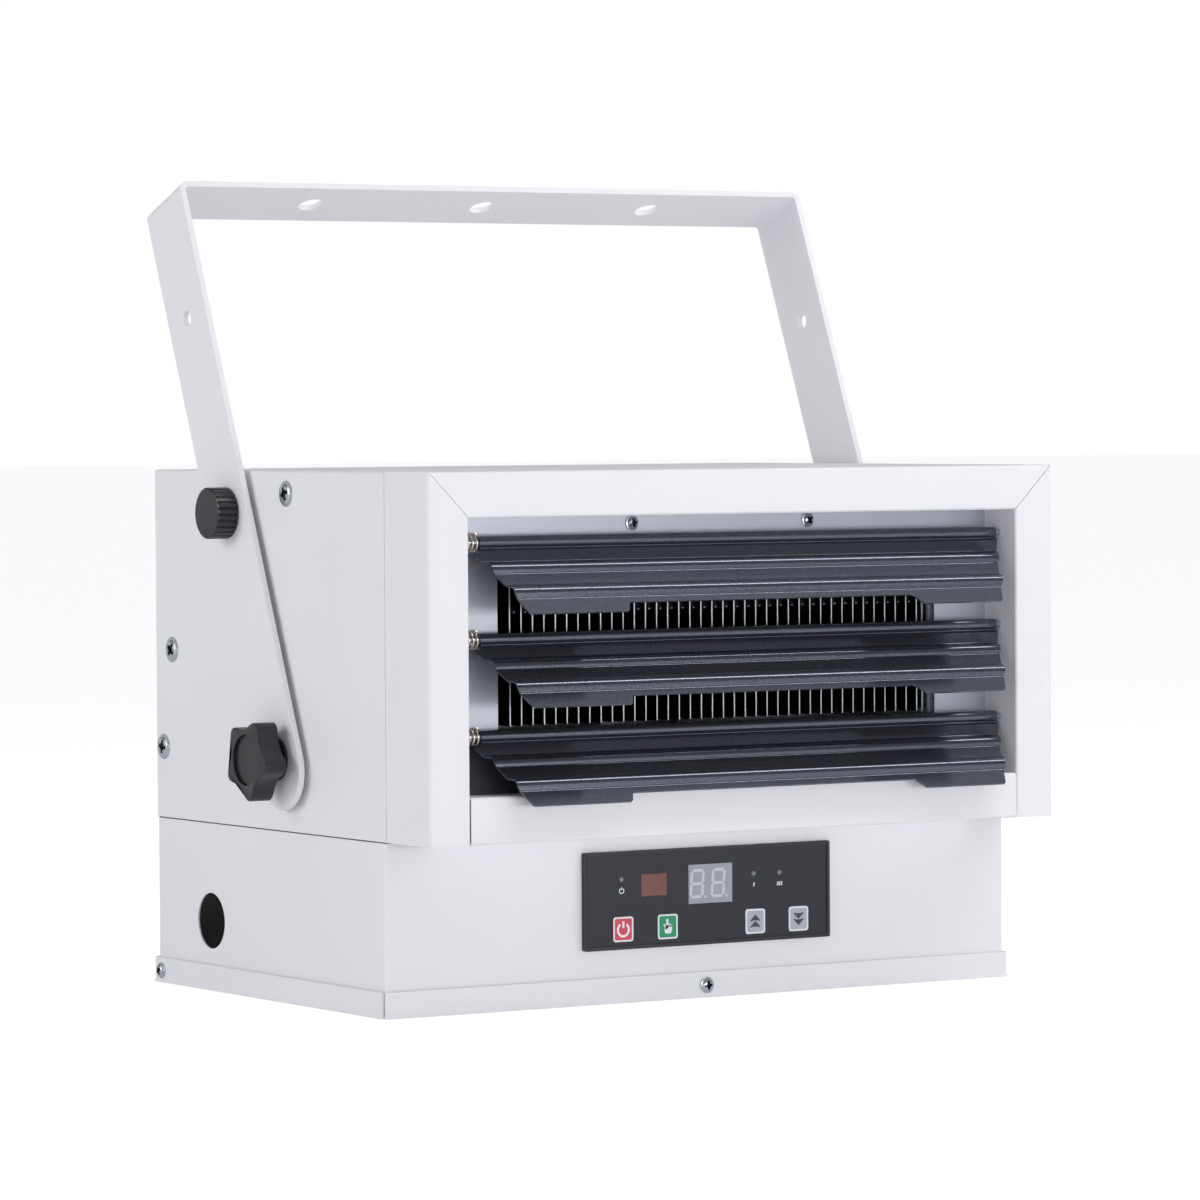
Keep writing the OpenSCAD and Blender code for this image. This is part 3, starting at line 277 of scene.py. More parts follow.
def platedMetal(name, setup):
    # bright metal surface: fine drawing or rolling lines and slightly uneven gloss
    material, tree = newMaterial(name)
    colour = clouded(tree, setup["cloud"], setup["shade"], setup["colour"])
    place = addNode(tree, "ShaderNodeTexCoord")
    scaled = addNode(tree, "ShaderNodeMapping", {"Scale": setup.get("stretch", (1, 1, 1))},
                     {"Vector": place.outputs["Object"]})
    lines = addNode(tree, "ShaderNodeTexNoise", {"Scale": perMetre(setup["line"]), "Detail": 3.0},
                    {"Vector": scaled.outputs["Vector"]})
    rough = addNode(tree, "ShaderNodeMapRange",
                    {"To Min": setup["roughness"] - metalDrift[0], "To Max": setup["roughness"] + metalDrift[1]},
                    {"Value": lines.outputs["Fac"]})
    closeMaterial(tree, {"Metallic": setup.get("metallic", 1.0)},
                  {"Base Color": colour, "Roughness": rough.outputs["Result"]},
                  (lines.outputs["Fac"], setup["bump"], lineDepth))
    return material


# the walls of a screw's recess are painted dark: painted shade for the recess, on zinc
paintedRecessShade = platedMetal("paintedRecessShadeOnZinc", {
    "colour": "#2B2D31", "shade": "#222428", "cloud": 2, "line": 0.4, "roughness": 0.4, "bump": 0.05,
    "metallic": 0.5})
# bright zinc passivate: cool and glossy, with a slight cloudiness
zincPlate = platedMetal("brightZincPlate", {
    "colour": "#C6CBD0", "shade": "#AEB4BA", "cloud": 2.5, "line": 0.4, "roughness": 0.24, "bump": 0.2})
# nickel over drawn wire: bright and a little warm
springWire = platedMetal("nickelPlatedSpringWire", {
    "colour": "#F1E6DC", "shade": "#DCCDC0", "cloud": 3, "line": 0.3, "roughness": 0.2, "bump": 0.1,
    "stretch": (0.2, 1, 1)})
# aluminium sheet as rolled, with lines one way
millAluminium = platedMetal("millFinishAluminium", {
    "colour": "#D5D7DB", "shade": "#C4C7CC", "cloud": 12, "line": 0.3, "roughness": 0.34, "bump": 0.2,
    "stretch": (1, 0.1, 1)})
# heater tube, near black and glossy
tubeSteel = platedMetal("drawnHeaterTube", {
    "colour": "#15161A", "shade": "#101114", "cloud": 7, "line": 0.3, "roughness": 0.15, "bump": 0.03,
    "stretch": (0.1, 1, 1)})
# cold rolled sheet with a dull zinc coat: pale grey, with long soft reflections
galvanisedSheet = platedMetal("galvanisedSteelSheet", {
    "colour": "#B9BCC6", "shade": "#B4B7C1", "cloud": 25, "line": 0.5, "roughness": 0.34, "bump": 0.02,
    "stretch": (0.1, 1, 1), "metallic": 0.7})
# brass as turned: yellow, with fine marks of the tool
brassMetal = platedMetal("turnedBrass", {
    "colour": "#C7A155", "shade": "#B28D45", "cloud": 4, "line": 0.3, "roughness": 0.28, "bump": 0.2})
# baked enamel on the motor's shell: dark grey, thick and soft-edged
motorSteel = powderCoat("motorBlackEnamel", {
    "colour": "#5A5E66", "shade": "#4E5259", "cloud": 20, "peel": 1.2, "roughness": 0.4, "bump": 0.3, "depth": 0.05})

slotMaterials = {
    "white_paint": whitePowder, "grey_paint": galvanisedSheet, "dark_paint": louvrePaint, "black_paint": blackPowder,
    "knob_plastic": knobPlastic, "black_plastic": bezelPlastic, "overlay_plastic": overlayFilm,
    "zinc_steel": zincPlate, "spring_steel": springWire, "fin_aluminium": millAluminium, "tube_steel": tubeSteel,
    "fan_aluminium": millAluminium, "motor_steel": motorSteel, "display_plastic": displayAcrylic,
    "receiver_plastic": receiverAcrylic, "lens_plastic": lensPlastic, "red_plastic": redPlastic,
    "green_plastic": greenPlastic, "grey_plastic": greyPlastic, "circuit_board": boardLacquer,
    "light_plastic": moduleResin, "blue_plastic": relayPlastic, "brass": brassMetal,
}
nodeSlots = {part["node"]: part["material_slot"] for part in frame["record"]["subparts"]}
for name, thing in nodes.items():
    thing.data.materials.clear()
    thing.data.materials.append(slotMaterials[nodeSlots[name]])
print("stage: materials made,", len(bpy.data.materials))


# Shared making
packedWeld = 0.002 * mm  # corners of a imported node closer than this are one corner
seamWeld = 0.001 * mm    # the same where a turned or wound shape closes on itself
flatLimit = 0.6          # degrees between faces that still make one flat face


def bodyOf(nodeName):
    return nodes[nodeName]["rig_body"]


def addPiece(name, mesh, material, body, replaced=(), smoothAngle=35):
    # a finished piece: its place is in its mesh and its object stays at the origin
    for face in mesh.faces:
        face.smooth = True
    data = bpy.data.meshes.new(name)
    mesh.to_mesh(data)
    mesh.free()
    data.set_sharp_from_angle(angle=math.radians(smoothAngle))
    data.materials.append(material)
    piece = bpy.data.objects.new(name, data)
    bpy.context.scene.collection.objects.link(piece)
    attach(piece, body)
    if replaced:
        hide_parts(*replaced)
    return piece


def pieceName(nodeName):
    first, *rest = nodeName.split("_")
    return first + "".join(word.capitalize() for word in rest)


def mergedCopy(nodeName):
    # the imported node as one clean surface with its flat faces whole
    mesh = bmesh.new()
    mesh.from_mesh(nodes[nodeName].data)
    bmesh.ops.remove_doubles(mesh, verts=mesh.verts, dist=packedWeld)
    bmesh.ops.dissolve_limit(mesh, angle_limit=math.radians(flatLimit), verts=mesh.verts, edges=mesh.edges,
                             delimit={"NORMAL"})
    return mesh


def easedPiece(nodeName, ease, mesh=None):
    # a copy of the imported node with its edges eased, as folding, moulding or paint leaves them
    slot = nodeSlots[nodeName]
    piece = addPiece(pieceName(nodeName), mesh or mergedCopy(nodeName), slotMaterials[slot], bodyOf(nodeName),
                     (nodeName,), ease.get("smooth", 35))
    bevel = piece.modifiers.new("easedEdges", "BEVEL")
    bevel.width = ease["width"] * mm
    bevel.segments = ease.get("segments", 2)
    bevel.limit_method = "ANGLE"
    bevel.angle_limit = math.radians(ease.get("angle", 40))
    bevel.use_clamp_overlap = True
    bevel.harden_normals = True
    if ease.get("flats"):
        # wide faces are shaded flat, and only the narrow bends between them look curved
        weighted = piece.modifiers.new("flatFaces", "WEIGHTED_NORMAL")
        weighted.mode, weighted.weight, weighted.keep_sharp = "FACE_AREA", 100, True


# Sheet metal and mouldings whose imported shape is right
sheetEase = {"width": 0.3, "segments": 2}
easedNodes = {
    "mounting_bracket": {"width": 0.6, "segments": 3},
    "frame_top_rail": sheetEase, "frame_left_stile": sheetEase, "frame_right_stile": sheetEase,
    "frame_bottom_rail": sheetEase, "upper_casing": sheetEase, "lower_casing": sheetEase,
    "bottom_cover": sheetEase, "rear_panel": sheetEase, "outlet_plate": sheetEase,
    "star_knob_left": {"width": 0.3, "angle": 50}, "star_knob_right": {"width": 0.3, "angle": 50},
    "lock_knob_left": {"width": 0.3, "angle": 25}, "lock_knob_right": {"width": 0.3, "angle": 25},
    "control_bezel": {"width": 0.25},
}
for nodeName, ease in easedNodes.items():
    easedPiece(nodeName, ease)
print("stage: edges eased on", len(easedNodes), "parts")

# Louvres
# places in a blade's section are in mm, down it and forward of it from its hinge axis
louvreSetup = {
    "turns": {"louvre_top": 40.4, "louvre_middle": 44.7, "louvre_bottom": 43.8},  # degrees off hanging
    "roll": 5.6,           # mm across the rolled edge round the pin
    "ribs": (((9.8, -4.4), (13.1, -0.7), (16.6, -4.2)), ((24.7, -3.6), (28.9, 0.4), (33, -3.3))),
    "sheet": 0.9,
    "bend": 1.5,           # mm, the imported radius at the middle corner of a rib
    "softBend": 3.1,       # mm, the rounder crest of the real pressing
    "steps": 4,            # corners round a bend
    "reach": 0.12,         # mm within which a corner counts as found
    "hem": (3.3, -0.55),   # where the cut edge of the roll meets the blade
    "hemRadius": 0.42,
    "hemEnds": (4, 0.6),   # mm that the hem stops short of the blade's ends
}


def bendPoints(corners, radius, offset, steps):
    # points round the middle corner of three, on the sheet's face at the given offset
    before, corner, after = (Vector(c) for c in corners)
    a, b = (before - corner).normalized(), (after - corner).normalized()
    half = math.acos(a.dot(b)) / 2
    centre = corner + (a + b).normalized() * (radius / math.sin(half))
    tangent = radius / math.tan(half)
    start, end = corner + a * tangent - centre, corner + b * tangent - centre
    turn = (math.pi - 2 * half) * math.copysign(1, start.x * end.y - start.y * end.x)
    points = []
    for k in range(steps + 1):
        angle = turn * k / steps
        arm = Vector((start.x * math.cos(angle) - start.y * math.sin(angle),
                      start.x * math.sin(angle) + start.y * math.cos(angle)))
        points.append(centre + arm.normalized() * (radius + offset))
    return points


def softRibs(nodeName, setup):
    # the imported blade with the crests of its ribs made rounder, and a thin bead along the hem's cut edge
    turned = setup["turns"][nodeName]
    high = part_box(nodeName)[1]
    axis = Vector((0, high.y - setup["roll"] / 2 * mm, high.z - setup["roll"] / 2 * mm))
    down = Vector((0, -math.sin(math.radians(turned)), -math.cos(math.radians(turned))))
    forward = Vector((0, -math.cos(math.radians(turned)), math.sin(math.radians(turned))))
    moves = []
    for corners in setup["ribs"]:
        for offset in (setup["sheet"] / 2, -setup["sheet"] / 2):
            old = bendPoints(corners, setup["bend"], offset, setup["steps"])
            new = bendPoints(corners, setup["softBend"], offset, setup["steps"])
            moves += zip(old, new)
    mesh = mergedCopy(nodeName)
    moved = 0
    for vert in mesh.verts:
        rest = vert.co - axis
        place = Vector((rest.dot(down), rest.dot(forward))) / mm
        for old, new in moves:
            if (place - old).length < setup["reach"]:
                step = (new - place) * mm
                vert.co += down * step.x + forward * step.y
                moved += 1
                break
    ends = (min(v.co.x for v in mesh.verts) + setup["hemEnds"][0] * mm,
            max(v.co.x for v in mesh.verts) - setup["hemEnds"][1] * mm)
    middle = axis + (down * setup["hem"][0] + forward * setup["hem"][1]) * mm
    middle.x = sum(ends) / 2
    bmesh.ops.create_cone(mesh, cap_ends=True, segments=10, radius1=setup["hemRadius"] * mm,
                          radius2=setup["hemRadius"] * mm, depth=ends[1] - ends[0],
                          matrix=Matrix.Translation(middle) @ Matrix.Rotation(math.radians(90), 4, "Y"))
    print("stage:", nodeName, moved, "rib corners softened")
    return mesh


louvreEase = {"width": 0.35, "segments": 3, "angle": 60, "smooth": 60, "flats": True}
for nodeName in louvreSetup["turns"]:
    easedPiece(nodeName, louvreEase, softRibs(nodeName, louvreSetup))
print("stage: louvres eased")


# Screws
def spunShape(profile, steps):
    # a closed shape turned about the Z axis from (radius, height) points in mm
    mesh = bmesh.new()
    corners = [mesh.verts.new((r * mm, 0, h * mm)) for r, h in profile]
    chain = [mesh.edges.new(pair) for pair in zip(corners, corners[1:])]
    bmesh.ops.spin(mesh, geom=corners + chain, cent=(0, 0, 0), axis=(0, 0, 1), dvec=(0, 0, 0),
                   angle=math.tau, steps=steps, use_merge=True, use_duplicate=False)
    bmesh.ops.remove_doubles(mesh, verts=mesh.verts, dist=seamWeld)
    bmesh.ops.recalc_face_normals(mesh, faces=mesh.faces)
    return mesh


def block(mesh, size, centre, taper=1.0):
    # a block of a size in mm round a centre, its lower end narrowed to a share of its upper
    made = bmesh.ops.create_cube(mesh, size=1)["verts"]
    bmesh.ops.scale(mesh, verts=[v for v in made if v.co.z < 0], vec=(taper, taper, 1))
    bmesh.ops.scale(mesh, verts=made, vec=[n * mm for n in size])
    bmesh.ops.translate(mesh, verts=made, vec=[n * mm for n in centre])


def tempObject(mesh, name):
    # a mesh as an object, only for as long as a modifier needs it
    data = bpy.data.meshes.new(name)
    mesh.to_mesh(data)
    thing = bpy.data.objects.new(name, data)
    bpy.context.scene.collection.objects.link(thing)
    return thing


def cutOut(mesh, cutters):
    # the mesh with each cutter taken away from it
    body = tempObject(mesh, "blank")
    tools = [tempObject(c, "cutter") for c in cutters]
    for tool in tools:
        cut = body.modifiers.new("cut", "BOOLEAN")
        cut.operation, cut.solver, cut.object = "DIFFERENCE", "EXACT", tool
    result = bmesh.new()
    result.from_object(body, bpy.context.evaluated_depsgraph_get())
    for thing in [body] + tools:
        data = thing.data
        bpy.data.objects.remove(thing)
        bpy.data.meshes.remove(data)
    for c in [mesh] + cutters:
        c.free()
    return result


# what all the screw heads share
headShape = {
    "round": 0.15, "rimRound": 0.2, "groove": 0.25, "step": 0.1,  # mm, of the washer and the foot of the dome
    "fall": 0.7,                        # power of the cosine that the dome's radius follows
    "arcs": 6, "sides": 40,
    "wing": 0.27, "wingTaper": 0.62,    # a wing's width as a share of its length, and its share left at the bottom
    "core": 1.7, "coreDeep": 1.35, "coreTaper": 0.5,  # the core against the wing's width and depth
    # the recess found with these takes the painted shade
    "reach": 0.05, "under": 0.12,       # mm past the cross and below the dome that still count as the recess
}


def crossCutter(length, depth, top):
    # the tip of a cross-head driver: two tapered wings and a deeper core
    width, taper = length * headShape["wing"], headShape["wingTaper"]
    along = bmesh.new()
    block(along, (length, width, depth), (0, 0, top - depth / 2), taper)
    across = bmesh.new()
    block(across, (width, length, depth), (0, 0, top - depth / 2), taper)
    core = bmesh.new()
    coreWide, coreDeep = width * headShape["core"], depth * headShape["coreDeep"]
    block(core, (coreWide, coreWide, coreDeep), (0, 0, top - coreDeep / 2), headShape["coreTaper"])
    return [along, across, core]


def panHead(setup):
    # washer-faced pan head with a cross recess, standing on Z = 0, and its shank below
    radius, height, rim, dome = setup["head"] / 2, setup["height"], setup["rim"], setup["dome"]
    edge, step, fall, arcs = headShape["round"], headShape["step"], headShape["fall"], headShape["arcs"]
    foot, bow = rim + step, height - rim - step
    profile = [(0, -setup["shank"]), (setup["shankRadius"], -setup["shank"]), (setup["shankRadius"], 0),
               (radius - edge, 0), (radius, edge), (radius, rim - headShape["rimRound"]),
               (radius - headShape["rimRound"], rim), (dome + headShape["groove"], rim), (dome, foot)]
    for i in range(1, arcs + 1):
        angle = math.radians(90 * i / arcs)
        profile.append((dome * math.cos(angle) ** fall if i < arcs else 0, foot + bow * math.sin(angle)))
    cutters = crossCutter(setup["cross"], setup["crossDepth"], height + headShape["reach"])
    mesh = cutOut(spunShape(profile, headShape["sides"]), cutters)
    for face in mesh.faces:
        # faces under the dome's surface are the walls of the recess, which take the second material, the painted shade
        centre = face.calc_center_median() / mm
        reach = math.hypot(centre.x, centre.y)
        if reach < setup["cross"] / 2 + headShape["reach"] and centre.z > 0:
            surface = foot + bow * math.sin(math.acos(min((reach / dome) ** (1 / fall), 1)))
            face.material_index = 1 if centre.z < surface - headShape["under"] else 0
    return mesh


def islandBoxes(nodeName):
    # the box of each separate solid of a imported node
    mesh = bmesh.new()
    mesh.from_mesh(nodes[nodeName].data)
    bmesh.ops.remove_doubles(mesh, verts=mesh.verts, dist=packedWeld)
    left, boxes = set(mesh.verts), []
    while left:
        start = left.pop()
        found, waiting = [start], [start]
        while waiting:
            vert = waiting.pop()
            for link in vert.link_edges:
                far = link.other_vert(vert)
                if far in left:
                    left.discard(far)
                    found.append(far)
                    waiting.append(far)
        boxes.append((Vector([min(v.co[k] for v in found) for k in range(3)]),
                      Vector([max(v.co[k] for v in found) for k in range(3)])))
    mesh.free()
    return sorted(boxes, key=lambda b: tuple(round(n, 4) for n in b[0]))


casingLow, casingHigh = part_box("lower_casing")
heaterMiddle = (casingLow + casingHigh) / 2


def outwardWay(low, high):
    # the wall that a fitting stands on, as an axis number and a sign
    middle = (low + high) / 2
    shares = [abs(middle[k] - heaterMiddle[k]) / (casingHigh[k] - casingLow[k]) for k in (0, 1)]
    axis = 0 if shares[0] > shares[1] else 1
    return axis, 1 if middle[axis] > heaterMiddle[axis] else -1


def addScrews(nodeName, setup, way):
    # one detailed screw in place of each packed one, each turned a little differently, as driving leaves them
    whole = bmesh.new()
    pattern = panHead(setup)
    for count, (low, high) in enumerate(islandBoxes(nodeName)):
        axis, sign = way or outwardWay(low, high)
        tip = high[axis] if sign > 0 else low[axis]
        seat = (low + high) / 2
        seat[axis] = tip - sign * setup["height"] * mm
        outward = Vector([sign if k == axis else 0 for k in range(3)])
        turn = Matrix.Rotation(math.radians(setup["turns"][count % len(setup["turns"])]), 4, "Z")
        aim = outward.to_track_quat("Z", "Y").to_matrix().to_4x4()
        one = pattern.copy()
        bmesh.ops.transform(one, matrix=Matrix.Translation(seat) @ aim @ turn, verts=one.verts)
        held = bpy.data.meshes.new("screw")
        one.to_mesh(held)
        one.free()
        whole.from_mesh(held)
        bpy.data.meshes.remove(held)
    pattern.free()
    piece = addPiece(pieceName(nodeName), whole, zincPlate, bodyOf(nodeName), (nodeName,), 30)
    # the second material paints the recess walls dark, as painted shade
    piece.data.materials.append(paintedRecessShade)


screwSetups = {
    "plate_screws": ({"head": 7.6, "height": 2.2, "rim": 0.7, "dome": 3.0, "shank": 7, "shankRadius": 1.75,
                      "cross": 4.8, "crossDepth": 1.9, "turns": (12, 40)}, (1, -1)),
    "cover_screws": ({"head": 8.2, "height": 2.2, "rim": 0.7, "dome": 3.3, "shank": 6, "shankRadius": 1.75,
                      "cross": 5, "crossDepth": 1.9, "turns": (25, 60, 5, 48)}, None),
    "rear_screws": ({"head": 8, "height": 2.2, "rim": 0.7, "dome": 3.2, "shank": 6, "shankRadius": 1.75,
                     "cross": 5, "crossDepth": 1.9, "turns": (33, 70, 10)}, (1, 1)),
    "index_screws": ({"head": 13, "height": 1.5, "rim": 0.6, "dome": 4.9, "shank": 9, "shankRadius": 3,
                      "cross": 7.6, "crossDepth": 1.9, "turns": (20, 55, 80)}, None),
}
for nodeName, (setup, way) in screwSetups.items():
    addScrews(nodeName, setup, way)
print("stage: screws placed")


# Seams
# thin dark strips in the joints of the casing, painted shade for the gaps, their middle 0.5 mm behind the outer faces
upperLow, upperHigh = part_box("upper_casing")
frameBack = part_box("frame_left_stile")[1].y
seamShadeSetup = {"behind": 0.5, "deep": 0.4, "jointRoom": 0.1, "slitRoom": 0.06, "short": 1}  # mm


def addSeamShade(setup):
    # dark strips of painted shade along both sides between the casings, and up, over and down between the upper casing
    # and the frame
    mesh = bmesh.new()
    behind, deep = setup["behind"], setup["deep"]
    jointAt, jointHigh = (casingHigh.z + upperLow.z) / 2 / mm, (upperLow.z - casingHigh.z) / mm - setup["jointRoom"]
    slitAt, slitWide = (frameBack + upperLow.y) / 2 / mm, (upperLow.y - frameBack) / mm - setup["slitRoom"]
    front, back = casingLow.y / mm + setup["short"], casingHigh.y / mm - setup["short"]
    low, high = upperLow.z / mm + setup["short"], upperHigh.z / mm - behind
    across = casingHigh.x / mm - behind
    for side in (-1, 1):
        block(mesh, (deep, back - front, jointHigh), (side * across, (front + back) / 2, jointAt))
        block(mesh, (deep, slitWide, high - low), (side * across, slitAt, (low + high) / 2))
    block(mesh, (2 * across, slitWide, deep), (0, slitAt, high))
    # the strips carry the black plastic's colour as painted shade in the joints
    addPiece("paintedSeamShade", mesh, bezelPlastic, bodyOf("upper_casing"))


addSeamShade(seamShadeSetup)
print("stage: seams sealed")


# Louvre springs
springSetup = {"coil": 8.4, "wire": 1.0, "turns": 5, "steps": 28, "sides": 12}  # mm, and steps in one turn


def addSprings(nodeName, setup):
    # round wire wound along X, from the wall to the louvre
    whole = bmesh.new()
    wire = setup["wire"] / 2 * mm
    steps = setup["turns"] * setup["steps"]
    for low, high in islandBoxes(nodeName):
        middle = (low + high) / 2
        run = (high.x - low.x) - 2 * wire
        start = Matrix.Translation((low.x + wire, middle.y, middle.z + setup["coil"] / 2 * mm))
        ring = bmesh.ops.create_circle(whole, cap_ends=True, segments=setup["sides"], radius=wire,
                                       matrix=start @ Matrix.Rotation(math.radians(90), 4, "X"))
        faces = {f for v in ring["verts"] for f in v.link_faces}
        bmesh.ops.spin(whole, geom=list(faces), cent=middle, axis=(1, 0, 0), dvec=(run / steps, 0, 0),
                       angle=math.tau * setup["turns"], steps=steps, use_merge=False, use_duplicate=False)
    bmesh.ops.remove_doubles(whole, verts=whole.verts, dist=seamWeld)
    bmesh.ops.recalc_face_normals(whole, faces=whole.faces)
    addPiece(pieceName(nodeName), whole, springWire, bodyOf(nodeName), (nodeName,), 50)


addSprings("louvre_springs", springSetup)
print("stage: springs wound")


# Fins
finSetup = {
    # the bare colour serves both the cut edges and the painted glint on the collars
    "coat": "#16181D", "bare": "#D5D7DB",
    "edge": 0.3,              # mm of the front and back that counts as the cut edge
    "pitch": 6.57,            # mm from fin to fin
    "spot": (-0.29, 0.1),     # which way the painted glint faces, up, and how far round it reaches
    "glintFrom": 0.78,         # where it starts, as a share of the way to the next fin
    "roughness": (0.32, 0.48), "metallic": 0.6, "grain": 0.5, "bump": 0.03, "depth": 0.02,
}


def finMaterial(setup):
    # sheet aluminium with a heat-resistant black coat on its faces, cut afterwards, so the edges are bare; the collars
    # also take a painted glint in the bare colour
    material, tree = newMaterial("blackCoatedFinWithBareEdgeAndPaintedGlint")
    shape = addNode(tree, "ShaderNodeNewGeometry")
    parts = addNode(tree, "ShaderNodeSeparateXYZ", links={"Vector": shape.outputs["True Normal"]})
    across = addNode(tree, "ShaderNodeMath", links={0: parts.outputs["X"]}, operation="ABSOLUTE")
    edge = addNode(tree, "ShaderNodeMath", {1: 0.5}, {0: across.outputs["Value"]}, operation="LESS_THAN")
    place = addNode(tree, "ShaderNodeTexCoord")
    where = addNode(tree, "ShaderNodeSeparateXYZ", links={"Vector": place.outputs["Object"]})
    low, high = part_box("fin_pack")
    edgeDeep, pitch = setup["edge"] * mm, setup["pitch"] * mm
    ahead = addNode(tree, "ShaderNodeMath", {1: low.y + edgeDeep}, {0: where.outputs["Y"]}, operation="LESS_THAN")
    behind = addNode(tree, "ShaderNodeMath", {1: high.y - edgeDeep}, {0: where.outputs["Y"]},
                     operation="GREATER_THAN")
    # a painted glint: the collars round the tubes take the bare colour at one spot, close to the next fin
    crest = addNode(tree, "ShaderNodeMath", {1: setup["spot"][0], 2: setup["spot"][1]}, {0: parts.outputs["Z"]},
                    operation="COMPARE")
    gap = addNode(tree, "ShaderNodeMath", {1: 1 / pitch, 2: -(low.x + edgeDeep) / pitch}, {0: where.outputs["X"]},
                  operation="MULTIPLY_ADD")
    share = addNode(tree, "ShaderNodeMath", links={0: gap.outputs["Value"]}, operation="FRACT")
    close = addNode(tree, "ShaderNodeMath", {1: setup["glintFrom"]}, {0: share.outputs["Value"]},
                    operation="GREATER_THAN")
    paintedGlint = addNode(tree, "ShaderNodeMath", links={0: crest.outputs["Value"], 1: close.outputs["Value"]},
                     operation="MULTIPLY")
    ends = addNode(tree, "ShaderNodeMath", links={0: ahead.outputs["Value"], 1: behind.outputs["Value"]},
                   operation="MAXIMUM")
    shown = addNode(tree, "ShaderNodeMath", links={0: ends.outputs["Value"], 1: paintedGlint.outputs["Value"]},
                    operation="MAXIMUM")
    bare = addNode(tree, "ShaderNodeMath", links={0: edge.outputs["Value"], 1: shown.outputs["Value"]},
                   operation="MULTIPLY")
    tint = addNode(tree, "ShaderNodeMix", {"A": linearColour(setup["coat"]), "B": linearColour(setup["bare"])},
                   {"Factor": bare.outputs["Value"]}, data_type="RGBA")
    grain = addNode(tree, "ShaderNodeTexNoise", {"Scale": perMetre(setup["grain"]), "Detail": 2.0},
                    {"Vector": place.outputs["Object"]})
    smooth, dull = setup["roughness"]
    rough = addNode(tree, "ShaderNodeMapRange", {"To Min": smooth, "To Max": dull}, {"Value": grain.outputs["Fac"]})
    closeMaterial(tree, {"Metallic": setup["metallic"]},
                  {"Base Color": tint.outputs["Result"], "Roughness": rough.outputs["Result"]},
                  (grain.outputs["Fac"], setup["bump"], setup["depth"]))
    return material


nodes["fin_pack"].data.materials[0] = finMaterial(finSetup)


# Control panel print and symbols
def flatShape(points, thickness):
    # a thin plate lying in X and Z from corner points in mm, raised towards the front
    mesh = bmesh.new()
    face = mesh.faces.new([mesh.verts.new((x * mm, 0, z * mm)) for x, z in points])
    return raised(mesh, [face], thickness)


def raised(mesh, faces, thickness):
    # faces given the thickness of a layer of ink, towards the front
    grown = bmesh.ops.extrude_face_region(mesh, geom=faces)["geom"]
    top = [g for g in grown if isinstance(g, bmesh.types.BMVert)]
    bmesh.ops.translate(mesh, verts=top, vec=(0, -thickness * mm, 0))
    bmesh.ops.recalc_face_normals(mesh, faces=mesh.faces)
    return mesh


def roundedLoop(mesh, width, height, corner, steps=5):
    # corner points of a rounded oblong, anticlockwise
    loop = []
    for k, (sx, sz) in enumerate(((1, 1), (-1, 1), (-1, -1), (1, -1))):
        for i in range(steps + 1):
            turn = math.radians(90 * (k + i / steps))
            loop.append(mesh.verts.new(((sx * (width / 2 - corner) + corner * math.cos(turn)) * mm, 0,
                                        (sz * (height / 2 - corner) + corner * math.sin(turn)) * mm)))
    return loop


def roundedRing(setup):
    # a printed outline with rounded corners
    mesh = bmesh.new()
    width, height, band = setup["width"], setup["height"], setup["outline"]
    outer = roundedLoop(mesh, width, height, setup["corner"])
    inner = roundedLoop(mesh, width - 2 * band, height - 2 * band, setup["innerCorner"])
    faces = [mesh.faces.new((outer[i], outer[i - 1], inner[i - 1], inner[i])) for i in range(len(outer))]
    return raised(mesh, faces, setup["ink"])


def arcBand(radius, band, start, sweep, thickness, steps=28):
    # part of a flat ring, from an angle in degrees counted anticlockwise from the right
    mesh = bmesh.new()
    corners = [mesh.verts.new((r * mm, 0, 0)) for r in (radius - band / 2, radius + band / 2)]
    edge = mesh.edges.new(corners)
    bmesh.ops.spin(mesh, geom=corners + [edge], cent=(0, 0, 0), axis=(0, -1, 0), dvec=(0, 0, 0),
                   angle=math.radians(sweep), steps=steps, use_merge=False, use_duplicate=False)
    bmesh.ops.rotate(mesh, verts=mesh.verts, matrix=Matrix.Rotation(math.radians(start), 3, (0, -1, 0)))
    return raised(mesh, mesh.faces[:], thickness)


def joined(parts, at):
    # several small shapes as one, moved to a place in metres
    whole = bmesh.new()
    for part, (x, z) in parts:
        bmesh.ops.translate(part, verts=part.verts, vec=(x * mm, 0, z * mm))
        held = bpy.data.meshes.new("part")
        part.to_mesh(held)
        part.free()
        whole.from_mesh(held)
        bpy.data.meshes.remove(held)
    bmesh.ops.translate(whole, verts=whole.verts, vec=at)
    return whole


def bar(width, height, thickness, lean=0.0):
    half, high = width / 2, height / 2
    corners = [(-half - lean, -high), (half - lean, -high), (half + lean, high), (-half + lean, high)]
    return flatShape(corners, thickness)


# printed outline and symbol of each key, in mm, on a film that bulges 0.4 mm over the overlay's face
keySetup = {"width": 11.8, "height": 12.4, "outline": 0.85, "corner": 1.4, "innerCorner": 0.89, "ink": 0.12,
            "symbolInk": 0.14, "bulge": 0.4}


def powerSymbol(size, band, ink):
    # a ring of 290 degrees, open at the top, with a stroke in the opening
    ring, stroke = arcBand(size / 2, band, 125, 290, ink), bar(band, size * 0.52, ink)
    return [(ring, (0, -size * 0.04)), (stroke, (0, size * 0.36))]


